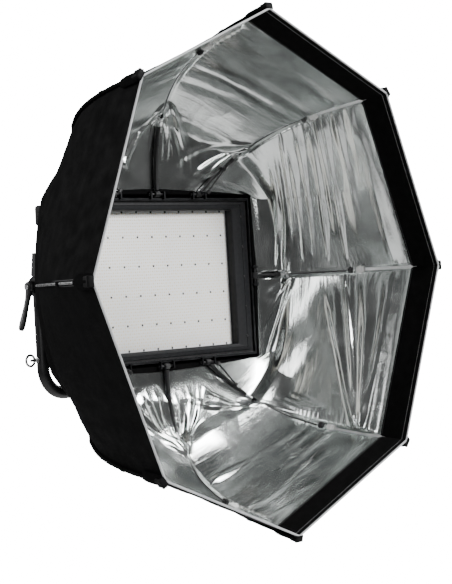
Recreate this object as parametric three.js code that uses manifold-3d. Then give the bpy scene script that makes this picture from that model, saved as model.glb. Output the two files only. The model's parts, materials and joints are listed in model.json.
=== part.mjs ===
// Octabox on a rectangular LED panel lamp, held in a round-tube yoke with a spigot.
// Millimetres, +Z up. Origin: centre of the spigot's shoulder, under the yoke. The open front faces -Y.
import * as THREE from 'three';
import { mergeVertices } from 'three/addons/utils/BufferGeometryUtils.js';
import Module from 'manifold-3d';

const wasm = await Module();
wasm.setup();

// ---- Driving dimensions ------------------------------------------------------------------------
const CLEARANCE = 0.3;          // between pieces that rest on each other
const RIM_RADIUS = 600;         // rib tips, on the octagon's corners
const AXIS_HEIGHT = 285;        // tilt axis above the spigot's shoulder
const ROOT_Y = -36;             // plane of the rib hinges, at the adapter frame's front edge
const RIM_Y = -420;             // plane of the open front
const FRAME_WIDTH = 662;        // adapter frame, outside
const FRAME_HEIGHT = 394;
const FRAME_DEPTH = 44;
const FRAME_WALL = 6;
const HINGE_OFFSET = 9;         // rib hinge lines outside the adapter frame
const SLANT_RIB_X = 146;        // where the four slanting ribs leave the frame's long sides
const LAMP_WIDTH = 640;
const LAMP_HEIGHT = 372;
const LAMP_FRONT_Y = -34;
const LAMP_REAR_Y = 14;
const WINDOW_WIDTH = 509;       // lit area
const WINDOW_HEIGHT = 335;
const BEZEL_DEPTH = 22;
const FABRIC_THICKNESS = 3;
const RIB_GAP = 6;              // from a rib's plane to the edge of the cloth beside it
const ROD_RADIUS = 3;
const ARM_SPAN = 0.22;          // part of the rib's curve that the rigid arm takes
const CLOTH_START = 0.035;      // where on the rib's curve the cloth begins
const YOKE_HALF_WIDTH = 361.5;  // to the middle of an arm
const YOKE_DROP = 245;          // tilt axis to the middle of the crossbar
const YOKE_BEND = 60;
const TUBE_RADIUS = 14;
const STUD_RADIUS = 6;
const BORE_RADIUS = 6.7;
const PLATE_OUTER_X = 342;      // outer face of the side brackets
const HUB_INNER_X = 345.6;
const HUB_OUTER_X = 377.4;

const HINGE_X = FRAME_WIDTH / 2 + HINGE_OFFSET;
const HINGE_Z = FRAME_HEIGHT / 2 + HINGE_OFFSET;
const RIM_DEPTH = ROOT_Y - RIM_Y;

// ---- Materials ---------------------------------------------------------------------------------
const material = (color, roughness, metalness = 0) =>
  new THREE.MeshStandardMaterial({ color, roughness, metalness });
const MATERIALS = {
  cloth: material(0x16171a, 0.9),
  paint: material(0x1b1c1e, 0.55, 0.3),
  plastic: material(0x222326, 0.6),
  rubber: material(0x17181a, 0.85),
  rod: material(0xb9bcc0, 0.3, 0.9),
  anodised: material(0x8f9296, 0.4, 0.9),
  steel: material(0xaeb0b3, 0.35, 1),
  board: material(0xf0ecdf, 0.5),
  screen: material(0x0c1116, 0.15),
};

const group = new THREE.Group();
const head = new THREE.Group();
head.position.z = AXIS_HEIGHT;
group.add(head);

function add(parent, name, geometry, surface) {
  const mesh = new THREE.Mesh(geometry, surface);
  mesh.name = name;
  parent.add(mesh);
  return mesh;
}

// ---- Shape helpers -----------------------------------------------------------------------------
const vec = (x, y, z) => new THREE.Vector3(x, y, z);

function box(x0, x1, y0, y1, z0, z1) {
  const geometry = new THREE.BoxGeometry(x1 - x0, y1 - y0, z1 - z0);
  return geometry.translate((x0 + x1) / 2, (y0 + y1) / 2, (z0 + z1) / 2);
}

function rectangle(width, height, radius = 0) {
  const shape = new THREE.Shape();
  const w = width / 2;
  const h = height / 2;
  shape.moveTo(-w + radius, -h);
  shape.lineTo(w - radius, -h);
  if (radius) shape.absarc(w - radius, -h + radius, radius, -Math.PI / 2, 0, false);
  shape.lineTo(w, h - radius);
  if (radius) shape.absarc(w - radius, h - radius, radius, 0, Math.PI / 2, false);
  shape.lineTo(-w + radius, h);
  if (radius) shape.absarc(-w + radius, h - radius, radius, Math.PI / 2, Math.PI, false);
  shape.lineTo(-w, -h + radius);
  if (radius) shape.absarc(-w + radius, -h + radius, radius, Math.PI, Math.PI * 1.5, false);
  return shape;
}

function frameShape(width, height, innerWidth, innerHeight) {
  const shape = rectangle(width, height);
  shape.holes.push(rectangle(innerWidth, innerHeight));
  return shape;
}

// A shape drawn in (x, z) and extruded from y0 to y1.
function plateXZ(shape, y0, y1, curveSegments = 3) {
  const geometry = new THREE.ExtrudeGeometry(shape, { depth: y1 - y0, bevelEnabled: false, curveSegments });
  return geometry.rotateX(Math.PI / 2).translate(0, y1, 0);
}

// A shape drawn in (y, z) and extruded from x0 to x1.
function plateYZ(shape, x0, x1, curveSegments = 6) {
  const geometry = new THREE.ExtrudeGeometry(shape, { depth: x1 - x0, bevelEnabled: false, curveSegments });
  return geometry.rotateX(Math.PI / 2).rotateZ(Math.PI / 2).translate(x0, 0, 0);
}

function cylinderX(radius, x0, x1, sides = 20) {
  const geometry = new THREE.CylinderGeometry(radius, radius, x1 - x0, sides);
  return geometry.rotateZ(Math.PI / 2).translate((x0 + x1) / 2, 0, 0);
}

// A profile of (radius, x) pairs turned about the X axis.
function latheX(points, sides = 20) {
  const profile = points.map(([radius, x]) => new THREE.Vector2(radius, x));
  return new THREE.LatheGeometry(profile, sides).rotateZ(-Math.PI / 2);
}

function mirrorX(geometry) {
  const mirrored = geometry.clone().scale(-1, 1, 1);
  return turnedOut(mirrored);
}

// Turns every face over where a mesh has its faces pointing in.
function turnedOut(geometry) {
  const solid = mergedPositions(geometry);
  const position = solid.attributes.position;
  const index = solid.index.array;
  const a = vec(0, 0, 0);
  const b = vec(0, 0, 0);
  const c = vec(0, 0, 0);
  let volume = 0;
  for (let i = 0; i < index.length; i += 3) {
    a.fromBufferAttribute(position, index[i]);
    b.fromBufferAttribute(position, index[i + 1]);
    c.fromBufferAttribute(position, index[i + 2]);
    volume += a.dot(b.cross(c));
  }
  if (volume < 0) {
    for (let i = 0; i < index.length; i += 3) {
      [index[i + 1], index[i + 2]] = [index[i + 2], index[i + 1]];
    }
  }
  return solid;
}

function mergedPositions(geometry) {
  const bare = geometry.clone();
  bare.deleteAttribute('normal');
  bare.deleteAttribute('uv');
  return mergeVertices(bare, 1e-4);
}

function toSolid(geometry) {
  const merged = mergedPositions(geometry);
  return new wasm.Manifold(new wasm.Mesh({
    numProp: 3,
    vertProperties: new Float32Array(merged.attributes.position.array),
    triVerts: new Uint32Array(merged.index.array),
  }));
}

function fromSolid(solid) {
  const mesh = solid.getMesh();
  const geometry = new THREE.BufferGeometry();
  geometry.setAttribute('position', new THREE.BufferAttribute(new Float32Array(mesh.vertProperties), 3));
  geometry.setIndex(new THREE.BufferAttribute(new Uint32Array(mesh.triVerts), 1));
  return geometry;
}

function joined(parts, cuts = []) {
  let solid = toSolid(parts[0]);
  for (const part of parts.slice(1)) solid = solid.add(toSolid(part));
  for (const cut of cuts) solid = solid.subtract(toSolid(cut));
  return fromSolid(solid);
}

function roundTube(curve, radius, sides, steps) {
  const section = new THREE.Shape();
  section.absarc(0, 0, radius, 0, Math.PI * 2, false);
  return new THREE.ExtrudeGeometry(section, { extrudePath: curve, steps, curveSegments: sides / 2 });
}

// ---- Ribs: eight curved ribs from the frame to the octagon's corners ----------------------------
// hinge is the direction of the rib's hinge pin, along the frame's edge that carries it.
const RIBS = [
  { name: 'right', x: HINGE_X, z: 0, angle: 0, hinge: 'z' },
  { name: 'top_right', x: SLANT_RIB_X, z: HINGE_Z, angle: 45, hinge: 'x' },
  { name: 'top', x: 0, z: HINGE_Z, angle: 90, hinge: 'x' },
  { name: 'top_left', x: -SLANT_RIB_X, z: HINGE_Z, angle: 135, hinge: 'x' },
  { name: 'left', x: -HINGE_X, z: 0, angle: 180, hinge: 'z' },
  { name: 'bottom_left', x: -SLANT_RIB_X, z: -HINGE_Z, angle: 225, hinge: 'x' },
  { name: 'bottom', x: 0, z: -HINGE_Z, angle: 270, hinge: 'x' },
  { name: 'bottom_right', x: SLANT_RIB_X, z: -HINGE_Z, angle: 315, hinge: 'x' },
];

// A rib runs out along the frame's plane first, then bends forwards to the rim. The shorter side
// ribs lean forwards sooner. These are shares of the rib's reach and of the rim's depth.
const LONG_BEND = { firstOut: 0.70, secondOut: 0.85, secondForward: 0.30 };
const SIDE_BEND = { firstOut: 0.42, secondOut: 0.76, secondForward: 0.37 };
for (const rib of RIBS) {
  const angle = THREE.MathUtils.degToRad(rib.angle);
  rib.root = vec(rib.x, ROOT_Y, rib.z);
  rib.tip = vec(RIM_RADIUS * Math.cos(angle), RIM_Y, RIM_RADIUS * Math.sin(angle));
  rib.reach = Math.hypot(rib.tip.x - rib.x, rib.tip.z - rib.z);
  rib.outward = vec((rib.tip.x - rib.x) / rib.reach, 0, (rib.tip.z - rib.z) / rib.reach);
  // Across the rib, counter-clockwise seen from the open front.
  rib.across = vec(-rib.outward.z, 0, rib.outward.x);
  rib.curve = ribCurve(rib);
}

function ribCurve(rib) {
  const bend = rib.hinge === 'z' ? SIDE_BEND : LONG_BEND;
  const alongRib = (out, forward) =>
    rib.root.clone().addScaledVector(rib.outward, out * rib.reach).add(vec(0, -forward * RIM_DEPTH, 0));
  const second = alongRib(bend.secondOut, bend.secondForward);
  return new THREE.CubicBezierCurve3(rib.root, alongRib(bend.firstOut, 0), second, rib.tip);
}

class CurveSpan extends THREE.Curve {
  constructor(curve, from, to) {
    super();
    this.curve = curve;
    this.from = from;
    this.to = to;
  }

  getPoint(t, target = vec(0, 0, 0)) {
    return this.curve.getPoint(THREE.MathUtils.lerp(this.from, this.to, t), target);
  }
}

// Places a solid drawn as (out, forward, across) on its rib.
function onRib(geometry, rib) {
  const basis = new THREE.Matrix4().makeBasis(rib.outward, vec(0, -1, 0), rib.across);
  return turnedOut(geometry.applyMatrix4(basis).translate(rib.root.x, rib.root.y, rib.root.z));
}

const PIN_RADIUS = 2.5;
const PIN_BORE_RADIUS = 3.3;
const PIN_HALF_LENGTH = 25;
const EAR_INNER = 20;
const EAR_OUTER = 24;

function hingePin(rib, radius, halfLength) {
  const pin = new THREE.CylinderGeometry(radius, radius, 2 * halfLength, 8);
  if (rib.hinge === 'x') pin.rotateZ(Math.PI / 2);
  else pin.rotateX(Math.PI / 2);
  return pin.translate(rib.root.x, rib.root.y, rib.root.z);
}

function ribArm(rib) {
  const width = 10;
  const halfThickness = 6;
  const steps = 6;
  const outline = [];
  const span = new CurveSpan(rib.curve, 0, ARM_SPAN);
  const inRibPlane = (point) => {
    const from = point.clone().sub(rib.root);
    return new THREE.Vector2(from.dot(rib.outward), -from.y);
  };
  for (let i = 0; i <= steps; i += 1) {
    const point = inRibPlane(span.getPoint(i / steps));
    const ahead = inRibPlane(span.getPoint(Math.min(1, i / steps + 0.01)));
    const behind = inRibPlane(span.getPoint(Math.max(0, i / steps - 0.01)));
    const along = ahead.sub(behind).normalize();
    const normal = new THREE.Vector2(-along.y, along.x).multiplyScalar(halfThickness);
    outline.push(point.clone().add(normal));
    outline.unshift(point.clone().sub(normal));
  }
  const heel = 4.5;
  outline[steps] = new THREE.Vector2(-heel, -halfThickness);
  outline[steps + 1] = new THREE.Vector2(-heel, halfThickness);
  const body = new THREE.ExtrudeGeometry(new THREE.Shape(outline), { depth: width, bevelEnabled: false });
  body.translate(0, 0, -width / 2);
  return joined([onRib(body, rib), hingePin(rib, PIN_RADIUS, PIN_HALF_LENGTH)]);
}

function ribRod(rib) {
  const start = ARM_SPAN + 0.002;
  return roundTube(new CurveSpan(rib.curve, start, 1), ROD_RADIUS, 8, 14);
}

// A thin stay in front of each slanting arm.
function ribBrace(rib) {
  const foot = { out: 8, forward: 30 };
  const head = { out: 100, forward: 19 };
  const length = Math.hypot(head.out - foot.out, head.forward - foot.forward);
  const stay = new THREE.CylinderGeometry(2.5, 2.5, length, 8);
  stay.rotateZ(Math.atan2(head.forward - foot.forward, head.out - foot.out) - Math.PI / 2);
  stay.translate((foot.out + head.out) / 2, (foot.forward + head.forward) / 2, 0);
  return onRib(stay, rib);
}

for (const rib of RIBS) {
  add(head, `rib_arm_${rib.name}`, ribArm(rib), MATERIALS.paint);
  add(head, `rib_rod_${rib.name}`, ribRod(rib), MATERIALS.rod);
  if (rib.hinge === 'x' && rib.x !== 0) add(head, `rib_brace_${rib.name}`, ribBrace(rib), MATERIALS.paint);
}

// ---- Cloth: a thin closed shell between two edge curves -----------------------------------------
function clothShell(edgeA, edgeB, across, along) {
  const inner = [];
  const outer = [];
  const point = (u, t) => edgeA(t).lerp(edgeB(t), u);
  const half = FABRIC_THICKNESS / 2;
  for (let j = 0; j <= along; j += 1) {
    const t = THREE.MathUtils.lerp(CLOTH_START, 1, j / along);
    for (let i = 0; i <= across; i += 1) {
      const u = i / across;
      const middle = point(u, t);
      const alongU = point(Math.min(1, u + 0.01), t).sub(point(Math.max(0, u - 0.01), t));
      const alongT = point(u, Math.min(1, t + 0.01)).sub(point(u, Math.max(0, t - 0.01)));
      const normal = alongU.cross(alongT).normalize();
      inner.push(middle.clone().addScaledVector(normal, -half));
      outer.push(middle.clone().addScaledVector(normal, half));
    }
  }
  return closedShell(inner, outer, across, along);
}

function closedShell(inner, outer, across, along) {
  const count = inner.length;
  const at = (i, j) => j * (across + 1) + i;
  const faces = [];
  const quad = (a, b, c, d) => faces.push(a, b, c, a, c, d);
  for (let j = 0; j < along; j += 1) {
    for (let i = 0; i < across; i += 1) {
      quad(count + at(i, j), count + at(i + 1, j), count + at(i + 1, j + 1), count + at(i, j + 1));
      quad(at(i, j), at(i, j + 1), at(i + 1, j + 1), at(i + 1, j));
    }
  }
  for (let i = 0; i < across; i += 1) {
    quad(at(i, 0), at(i + 1, 0), count + at(i + 1, 0), count + at(i, 0));
    quad(at(i + 1, along), at(i, along), count + at(i, along), count + at(i + 1, along));
  }
  for (let j = 0; j < along; j += 1) {
    quad(at(0, j + 1), at(0, j), count + at(0, j), count + at(0, j + 1));
    quad(at(across, j), at(across, j + 1), count + at(across, j + 1), count + at(across, j));
  }
  const geometry = new THREE.BufferGeometry();
  geometry.setFromPoints([...inner, ...outer]);
  geometry.setIndex(faces);
  return turnedOut(geometry);
}

// A rib's curve, moved sideways off the rib.
const besideRib = (rib, offset) => (t) => rib.curve.getPoint(t).addScaledVector(rib.across, offset);

// The crease halfway between two ribs; at a corner of the frame it starts from that corner.
function crease(ribA, ribB, start, offset) {
  const rootMiddle = ribA.root.clone().add(ribB.root).multiplyScalar(0.5);
  const toStart = start.clone().sub(rootMiddle);
  const sideways = ribB.tip.clone().sub(ribA.tip).normalize().multiplyScalar(offset);
  return (t) => ribA.curve.getPoint(t).add(ribB.curve.getPoint(t)).multiplyScalar(0.5)
    .addScaledVector(toStart, (1 - t) ** 3).add(sideways);
}

const ribNamed = (name) => RIBS.find((rib) => rib.name === name);
const CLOTH_ALONG = 10;

function straightPanel(fromName, toName) {
  const from = ribNamed(fromName);
  const to = ribNamed(toName);
  return clothShell(besideRib(from, RIB_GAP), besideRib(to, -RIB_GAP), 3, CLOTH_ALONG);
}
add(head, 'fabric_top_right', straightPanel('top_right', 'top'), MATERIALS.cloth);
add(head, 'fabric_top_left', straightPanel('top', 'top_left'), MATERIALS.cloth);
add(head, 'fabric_bottom_left', straightPanel('bottom_left', 'bottom'), MATERIALS.cloth);
add(head, 'fabric_bottom_right', straightPanel('bottom', 'bottom_right'), MATERIALS.cloth);

// Each corner of the frame has a panel in two halves that pleats along its crease when the ribs fold.
const CORNERS = [
  { name: 'top_right', from: 'right', to: 'top_right', x: HINGE_X, z: HINGE_Z, halves: ['lower', 'upper'] },
  { name: 'top_left', from: 'top_left', to: 'left', x: -HINGE_X, z: HINGE_Z, halves: ['upper', 'lower'] },
  { name: 'bottom_left', from: 'left', to: 'bottom_left', x: -HINGE_X, z: -HINGE_Z, halves: ['upper', 'lower'] },
  { name: 'bottom_right', from: 'bottom_right', to: 'right', x: HINGE_X, z: -HINGE_Z, halves: ['lower', 'upper'] },
];
for (const corner of CORNERS) {
  const from = ribNamed(corner.from);
  const to = ribNamed(corner.to);
  const start = vec(corner.x, ROOT_Y, corner.z);
  const creaseGap = 2.5;
  const first = clothShell(besideRib(from, RIB_GAP), crease(from, to, start, -creaseGap), 2, CLOTH_ALONG);
  const second = clothShell(crease(from, to, start, creaseGap), besideRib(to, -RIB_GAP), 2, CLOTH_ALONG);
  add(head, `corner_${corner.name}_${corner.halves[0]}`, first, MATERIALS.cloth);
  add(head, `corner_${corner.name}_${corner.halves[1]}`, second, MATERIALS.cloth);
}

// ---- Adapter frame: a flat-bar rectangle with a pair of hinge ears for each rib ------------------
function adapterFrame() {
  const inner = [FRAME_WIDTH - 2 * FRAME_WALL, FRAME_HEIGHT - 2 * FRAME_WALL];
  const bar = plateXZ(frameShape(FRAME_WIDTH, FRAME_HEIGHT, ...inner), ROOT_Y, ROOT_Y + FRAME_DEPTH);
  const parts = [bar];
  const cuts = [];
  const earSize = 6;
  const sunk = HINGE_OFFSET + 3;
  for (const rib of RIBS) {
    for (const side of [-1, 1]) {
      const near = Math.min(side * EAR_INNER, side * EAR_OUTER);
      const far = Math.max(side * EAR_INNER, side * EAR_OUTER);
      const sign = Math.sign(rib.hinge === 'x' ? rib.z : rib.x);
      const low = Math.min(-sign * sunk, sign * earSize);
      const high = Math.max(-sign * sunk, sign * earSize);
      const ear = rib.hinge === 'x'
        ? box(near, far, 0, 2 * earSize, low, high)
        : box(low, high, 0, 2 * earSize, near, far);
      parts.push(ear.translate(rib.root.x, rib.root.y - earSize, rib.root.z));
    }
    cuts.push(hingePin(rib, PIN_BORE_RADIUS, PIN_HALF_LENGTH + 1));
  }
  return joined(parts, cuts);
}
add(head, 'adapter_frame', adapterFrame(), MATERIALS.anodised);

// Z-shaped latches hold the adapter frame on the back of the lamp.
const LATCH_X = 200;
function frameLatch(x, sign) {
  const halfWidth = 17;
  const plate = 3;
  const rear = LAMP_REAR_Y + CLEARANCE;
  const frameRear = ROOT_Y + FRAME_DEPTH + CLEARANCE;
  const edge = LAMP_HEIGHT / 2 + 1;
  const outer = FRAME_HEIGHT / 2 + 2;
  const outline = [
    [rear, edge - 22], [rear + plate, edge - 22], [rear + plate, edge + plate],
    [frameRear + plate, edge + plate], [frameRear + plate, outer], [frameRear, outer],
    [frameRear, edge], [rear, edge],
  ];
  const shape = new THREE.Shape(outline.map(([y, z]) => new THREE.Vector2(y, sign * z)));
  return turnedOut(plateYZ(shape, x - halfWidth, x + halfWidth));
}
add(head, 'frame_latch_top_right', frameLatch(LATCH_X, 1), MATERIALS.paint);
add(head, 'frame_latch_top_left', frameLatch(-LATCH_X, 1), MATERIALS.paint);
add(head, 'frame_latch_bottom_right', frameLatch(LATCH_X, -1), MATERIALS.paint);
add(head, 'frame_latch_bottom_left', frameLatch(-LATCH_X, -1), MATERIALS.paint);

// ---- Lamp head ---------------------------------------------------------------------------------
const BEZEL_REAR_Y = LAMP_FRONT_Y + BEZEL_DEPTH;
const bezelShape = frameShape(LAMP_WIDTH, LAMP_HEIGHT, WINDOW_WIDTH, WINDOW_HEIGHT);
add(head, 'lamp_bezel', plateXZ(bezelShape, LAMP_FRONT_Y, BEZEL_REAR_Y), MATERIALS.plastic);

const BOARD_THICKNESS = 3;
const boardFront = BEZEL_REAR_Y + CLEARANCE;
const boardShape = rectangle(WINDOW_WIDTH + 21, WINDOW_HEIGHT + 17);
add(head, 'led_board', plateXZ(boardShape, boardFront, boardFront + BOARD_THICKNESS), MATERIALS.board);

function lampHousing() {
  const wall = 8;
  const back = 3.7;
  const shell = plateXZ(rectangle(LAMP_WIDTH, LAMP_HEIGHT), boardFront, LAMP_REAR_Y);
  const inside = rectangle(LAMP_WIDTH - 2 * wall, LAMP_HEIGHT - 2 * wall);
  return joined([shell], [plateXZ(inside, boardFront - 1, LAMP_REAR_Y - back)]);
}
add(head, 'lamp_housing', lampHousing(), MATERIALS.paint);

const SINK_REAR_Y = 56;
function heatSink() {
  const width = 440;
  const height = 270;
  const base = 5;
  const fins = 15;
  const finThickness = 6;
  const front = LAMP_REAR_Y + CLEARANCE;
  const pitch = (width - finThickness) / (fins - 1);
  const outline = [[-width / 2, front], [width / 2, front]];
  for (let i = fins - 1; i >= 0; i -= 1) {
    const left = -width / 2 + i * pitch;
    outline.push([left + finThickness, SINK_REAR_Y], [left, SINK_REAR_Y]);
    if (i > 0) outline.push([left, front + base], [left - pitch + finThickness, front + base]);
  }
  const shape = new THREE.Shape(outline.map(([x, y]) => new THREE.Vector2(x, y)));
  const comb = new THREE.ExtrudeGeometry(shape, { depth: height, bevelEnabled: false });
  return comb.translate(0, 0, -height / 2);
}
add(head, 'heat_sink', heatSink(), MATERIALS.paint);

const CONTROL_REAR_Y = 118;
const controlShape = rectangle(300, 170, 14);
const controlBox = plateXZ(controlShape, SINK_REAR_Y + CLEARANCE, CONTROL_REAR_Y);
add(head, 'control_box', controlBox, MATERIALS.plastic);

const PANEL_Y = CONTROL_REAR_Y + CLEARANCE;
const displayWindow = plateXZ(rectangle(92, 40, 4), PANEL_Y, PANEL_Y + 2).translate(50, 0, 34);
add(head, 'display_window', displayWindow, MATERIALS.screen);

const KNOB_X = -60;
const KNOB_Z = 34;
function dimmerKnob() {
  const profile = [[0, 0], [13, 0], [13, 3], [11.5, 4], [11, 15], [9.5, 17], [0, 17]];
  const points = profile.map(([radius, height]) => new THREE.Vector2(radius, height));
  return turnedOut(new THREE.LatheGeometry(points, 20).translate(KNOB_X, PANEL_Y, KNOB_Z));
}
add(head, 'dimmer_knob', dimmerKnob(), MATERIALS.plastic);

function powerInlet() {
  const body = plateXZ(rectangle(50, 30, 3), PANEL_Y, PANEL_Y + 10);
  const socket = plateXZ(rectangle(30, 20, 3), PANEL_Y + 3, PANEL_Y + 12);
  return joined([body], [socket]).translate(-60, 0, -40);
}
add(head, 'power_inlet', powerInlet(), MATERIALS.plastic);

// Rubber bumpers on the four rear corners, with a rounded outer edge.
function cornerBumper(signX, signZ) {
  const width = 30;
  const depth = 35;
  const height = 48;
  const round = 14;
  const y0 = LAMP_REAR_Y + CLEARANCE;
  const z1 = LAMP_HEIGHT / 2;
  const shape = new THREE.Shape();
  shape.moveTo(y0, z1 - height);
  shape.lineTo(y0 + depth, z1 - height);
  shape.lineTo(y0 + depth, z1 - round);
  shape.absarc(y0 + depth - round, z1 - round, round, 0, Math.PI / 2, false);
  shape.lineTo(y0, z1);
  const bumper = plateYZ(shape, LAMP_WIDTH / 2 - width, LAMP_WIDTH / 2, 5);
  return turnedOut(bumper.scale(signX, 1, signZ));
}
add(head, 'corner_bumper_top_right', cornerBumper(1, 1), MATERIALS.rubber);
add(head, 'corner_bumper_top_left', cornerBumper(-1, 1), MATERIALS.rubber);
add(head, 'corner_bumper_bottom_right', cornerBumper(1, -1), MATERIALS.rubber);
add(head, 'corner_bumper_bottom_left', cornerBumper(-1, -1), MATERIALS.rubber);

// Side brackets reach round the adapter frame from the back of the lamp to the tilt axis.
function sideBracket() {
  const thickness = 8;
  const hubRadius = 24;
  const top = 77;
  const footInnerX = 292;
  const footDepth = 9;
  const y0 = LAMP_REAR_Y + CLEARANCE;
  const outline = new THREE.Shape();
  outline.moveTo(y0, top);
  outline.lineTo(y0, 58);
  outline.lineTo(-hubRadius, 14);
  outline.absarc(0, 0, hubRadius, Math.PI, Math.PI * 2, false);
  outline.lineTo(46, 27);
  outline.lineTo(38, top);
  const plate = plateYZ(outline, PLATE_OUTER_X - thickness, PLATE_OUTER_X);
  const foot = box(footInnerX, PLATE_OUTER_X - 1, y0, y0 + footDepth, 26, top);
  return joined([plate, foot]);
}
const rightBracket = sideBracket();
add(head, 'side_bracket_right', rightBracket, MATERIALS.paint);
add(head, 'side_bracket_left', mirrorX(rightBracket), MATERIALS.paint);

// A friction disc and stud in one piece on each side, turning in the yoke's hub.
const DISC_X = PLATE_OUTER_X + CLEARANCE;
const DISC_RADIUS = 20;
const pivotStud = (end) => turnedOut(latheX([
  [0, DISC_X], [DISC_RADIUS, DISC_X], [DISC_RADIUS, HUB_INNER_X - CLEARANCE],
  [STUD_RADIUS, HUB_INNER_X - CLEARANCE], [STUD_RADIUS, end - 1.5], [STUD_RADIUS - 1.5, end], [0, end],
]));
add(head, 'pivot_stud_right', pivotStud(395), MATERIALS.steel);
add(head, 'pivot_stud_left', mirrorX(pivotStud(400)), MATERIALS.steel);

// ---- Yoke --------------------------------------------------------------------------------------
function yokeTube() {
  const path = new THREE.CurvePath();
  const bottom = -YOKE_DROP;
  const bendX = YOKE_HALF_WIDTH - YOKE_BEND;
  const bendZ = bottom + YOKE_BEND;
  const quarter = YOKE_BEND * 0.5523;
  path.add(new THREE.LineCurve3(vec(-YOKE_HALF_WIDTH, 0, -8), vec(-YOKE_HALF_WIDTH, 0, bendZ)));
  path.add(new THREE.CubicBezierCurve3(
    vec(-YOKE_HALF_WIDTH, 0, bendZ), vec(-YOKE_HALF_WIDTH, 0, bendZ - quarter),
    vec(-bendX - quarter, 0, bottom), vec(-bendX, 0, bottom)));
  path.add(new THREE.LineCurve3(vec(-bendX, 0, bottom), vec(bendX, 0, bottom)));
  path.add(new THREE.CubicBezierCurve3(
    vec(bendX, 0, bottom), vec(bendX + quarter, 0, bottom),
    vec(YOKE_HALF_WIDTH, 0, bendZ - quarter), vec(YOKE_HALF_WIDTH, 0, bendZ)));
  path.add(new THREE.LineCurve3(vec(YOKE_HALF_WIDTH, 0, bendZ), vec(YOKE_HALF_WIDTH, 0, -8)));
  const tube = roundTube(path, TUBE_RADIUS, 12, 56);
  const hub = cylinderX(22, HUB_INNER_X, HUB_OUTER_X, 24);
  const bore = cylinderX(BORE_RADIUS, HUB_INNER_X - 1, HUB_OUTER_X + 1, 20);
  return joined([tube, hub, mirrorX(hub)], [bore, mirrorX(bore)]);
}
add(group, 'yoke_tube', yokeTube(), MATERIALS.paint).position.z = AXIS_HEIGHT;

const FLANGE_HEIGHT = 8;
function yokeBase() {
  const tubeHeight = AXIS_HEIGHT - YOKE_DROP;
  const block = plateXZ(rectangle(78, 38, 5), -24, 24).translate(0, 0, FLANGE_HEIGHT + CLEARANCE + 19);
  const groove = cylinderX(TUBE_RADIUS + 0.4, -60, 60, 24).translate(0, 0, tubeHeight);
  return joined([block], [groove]);
}
add(group, 'yoke_base', yokeBase(), MATERIALS.paint);

function spigot() {
  const radius = 14;
  const waist = 11;
  const profile = [
    [0, -80], [radius - 2, -80], [radius, -78], [radius, -50], [waist, -46], [waist, -36],
    [radius, -32], [radius, 0], [24, 0], [24, FLANGE_HEIGHT], [0, FLANGE_HEIGHT],
  ];
  const points = profile.map(([r, z]) => new THREE.Vector2(r, z));
  return turnedOut(new THREE.LatheGeometry(points, 24).rotateX(Math.PI / 2));
}
add(group, 'spigot', spigot(), MATERIALS.steel);

// Tilt lock on the left, hand nut on the right.
function tiltLever() {
  const inner = HUB_OUTER_X + CLEARANCE;
  const outer = inner + 18;
  const reach = 92;
  const boss = cylinderX(13, inner, outer, 20);
  const bore = cylinderX(BORE_RADIUS, inner - 1, outer + 1, 20);
  const handle = new THREE.CylinderGeometry(6, 8, reach, 10);
  handle.translate(0, -reach / 2 - 9, 0);
  handle.rotateX(Math.PI / 2);
  handle.rotateY(THREE.MathUtils.degToRad(-10));
  handle.rotateX(THREE.MathUtils.degToRad(8));
  handle.translate(inner + 10, 0, 0);
  return mirrorX(joined([boss, handle], [bore]));
}
add(group, 'tilt_lever', tiltLever(), MATERIALS.plastic).position.z = AXIS_HEIGHT;

function tiltNut() {
  const inner = HUB_OUTER_X + CLEARANCE;
  const ring = latheX([
    [BORE_RADIUS, inner], [17, inner], [17, inner + 4], [14, inner + 6], [13, inner + 14], [BORE_RADIUS, inner + 14],
    [BORE_RADIUS, inner],
  ]);
  return turnedOut(ring);
}
add(group, 'tilt_nut', tiltNut(), MATERIALS.plastic).position.z = AXIS_HEIGHT;

// Safety-cable eye bolt on the left arm.
function eyeBolt() {
  const wire = 2.25;
  const ringRadius = 12.75;
  const ringX = YOKE_HALF_WIDTH + 37;
  const start = YOKE_HALF_WIDTH + TUBE_RADIUS + CLEARANCE;
  const ring = new THREE.TorusGeometry(ringRadius, wire, 6, 18).rotateX(Math.PI / 2).translate(ringX, 0, 0);
  const shank = cylinderX(3, start, ringX - ringRadius + 0.5, 10);
  const collar = cylinderX(7, start, start + 3, 6);
  return mirrorX(joined([turnedOut(ring), shank, collar]));
}
add(group, 'eye_bolt', eyeBolt(), MATERIALS.steel).position.z = AXIS_HEIGHT - 166;

export default group;
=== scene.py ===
"""Octabox on an LED panel lamp and its yoke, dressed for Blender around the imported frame. Metres."""
import math

import bmesh
import bpy
import json
import numpy as np
from mathutils import Matrix, Vector


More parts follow.
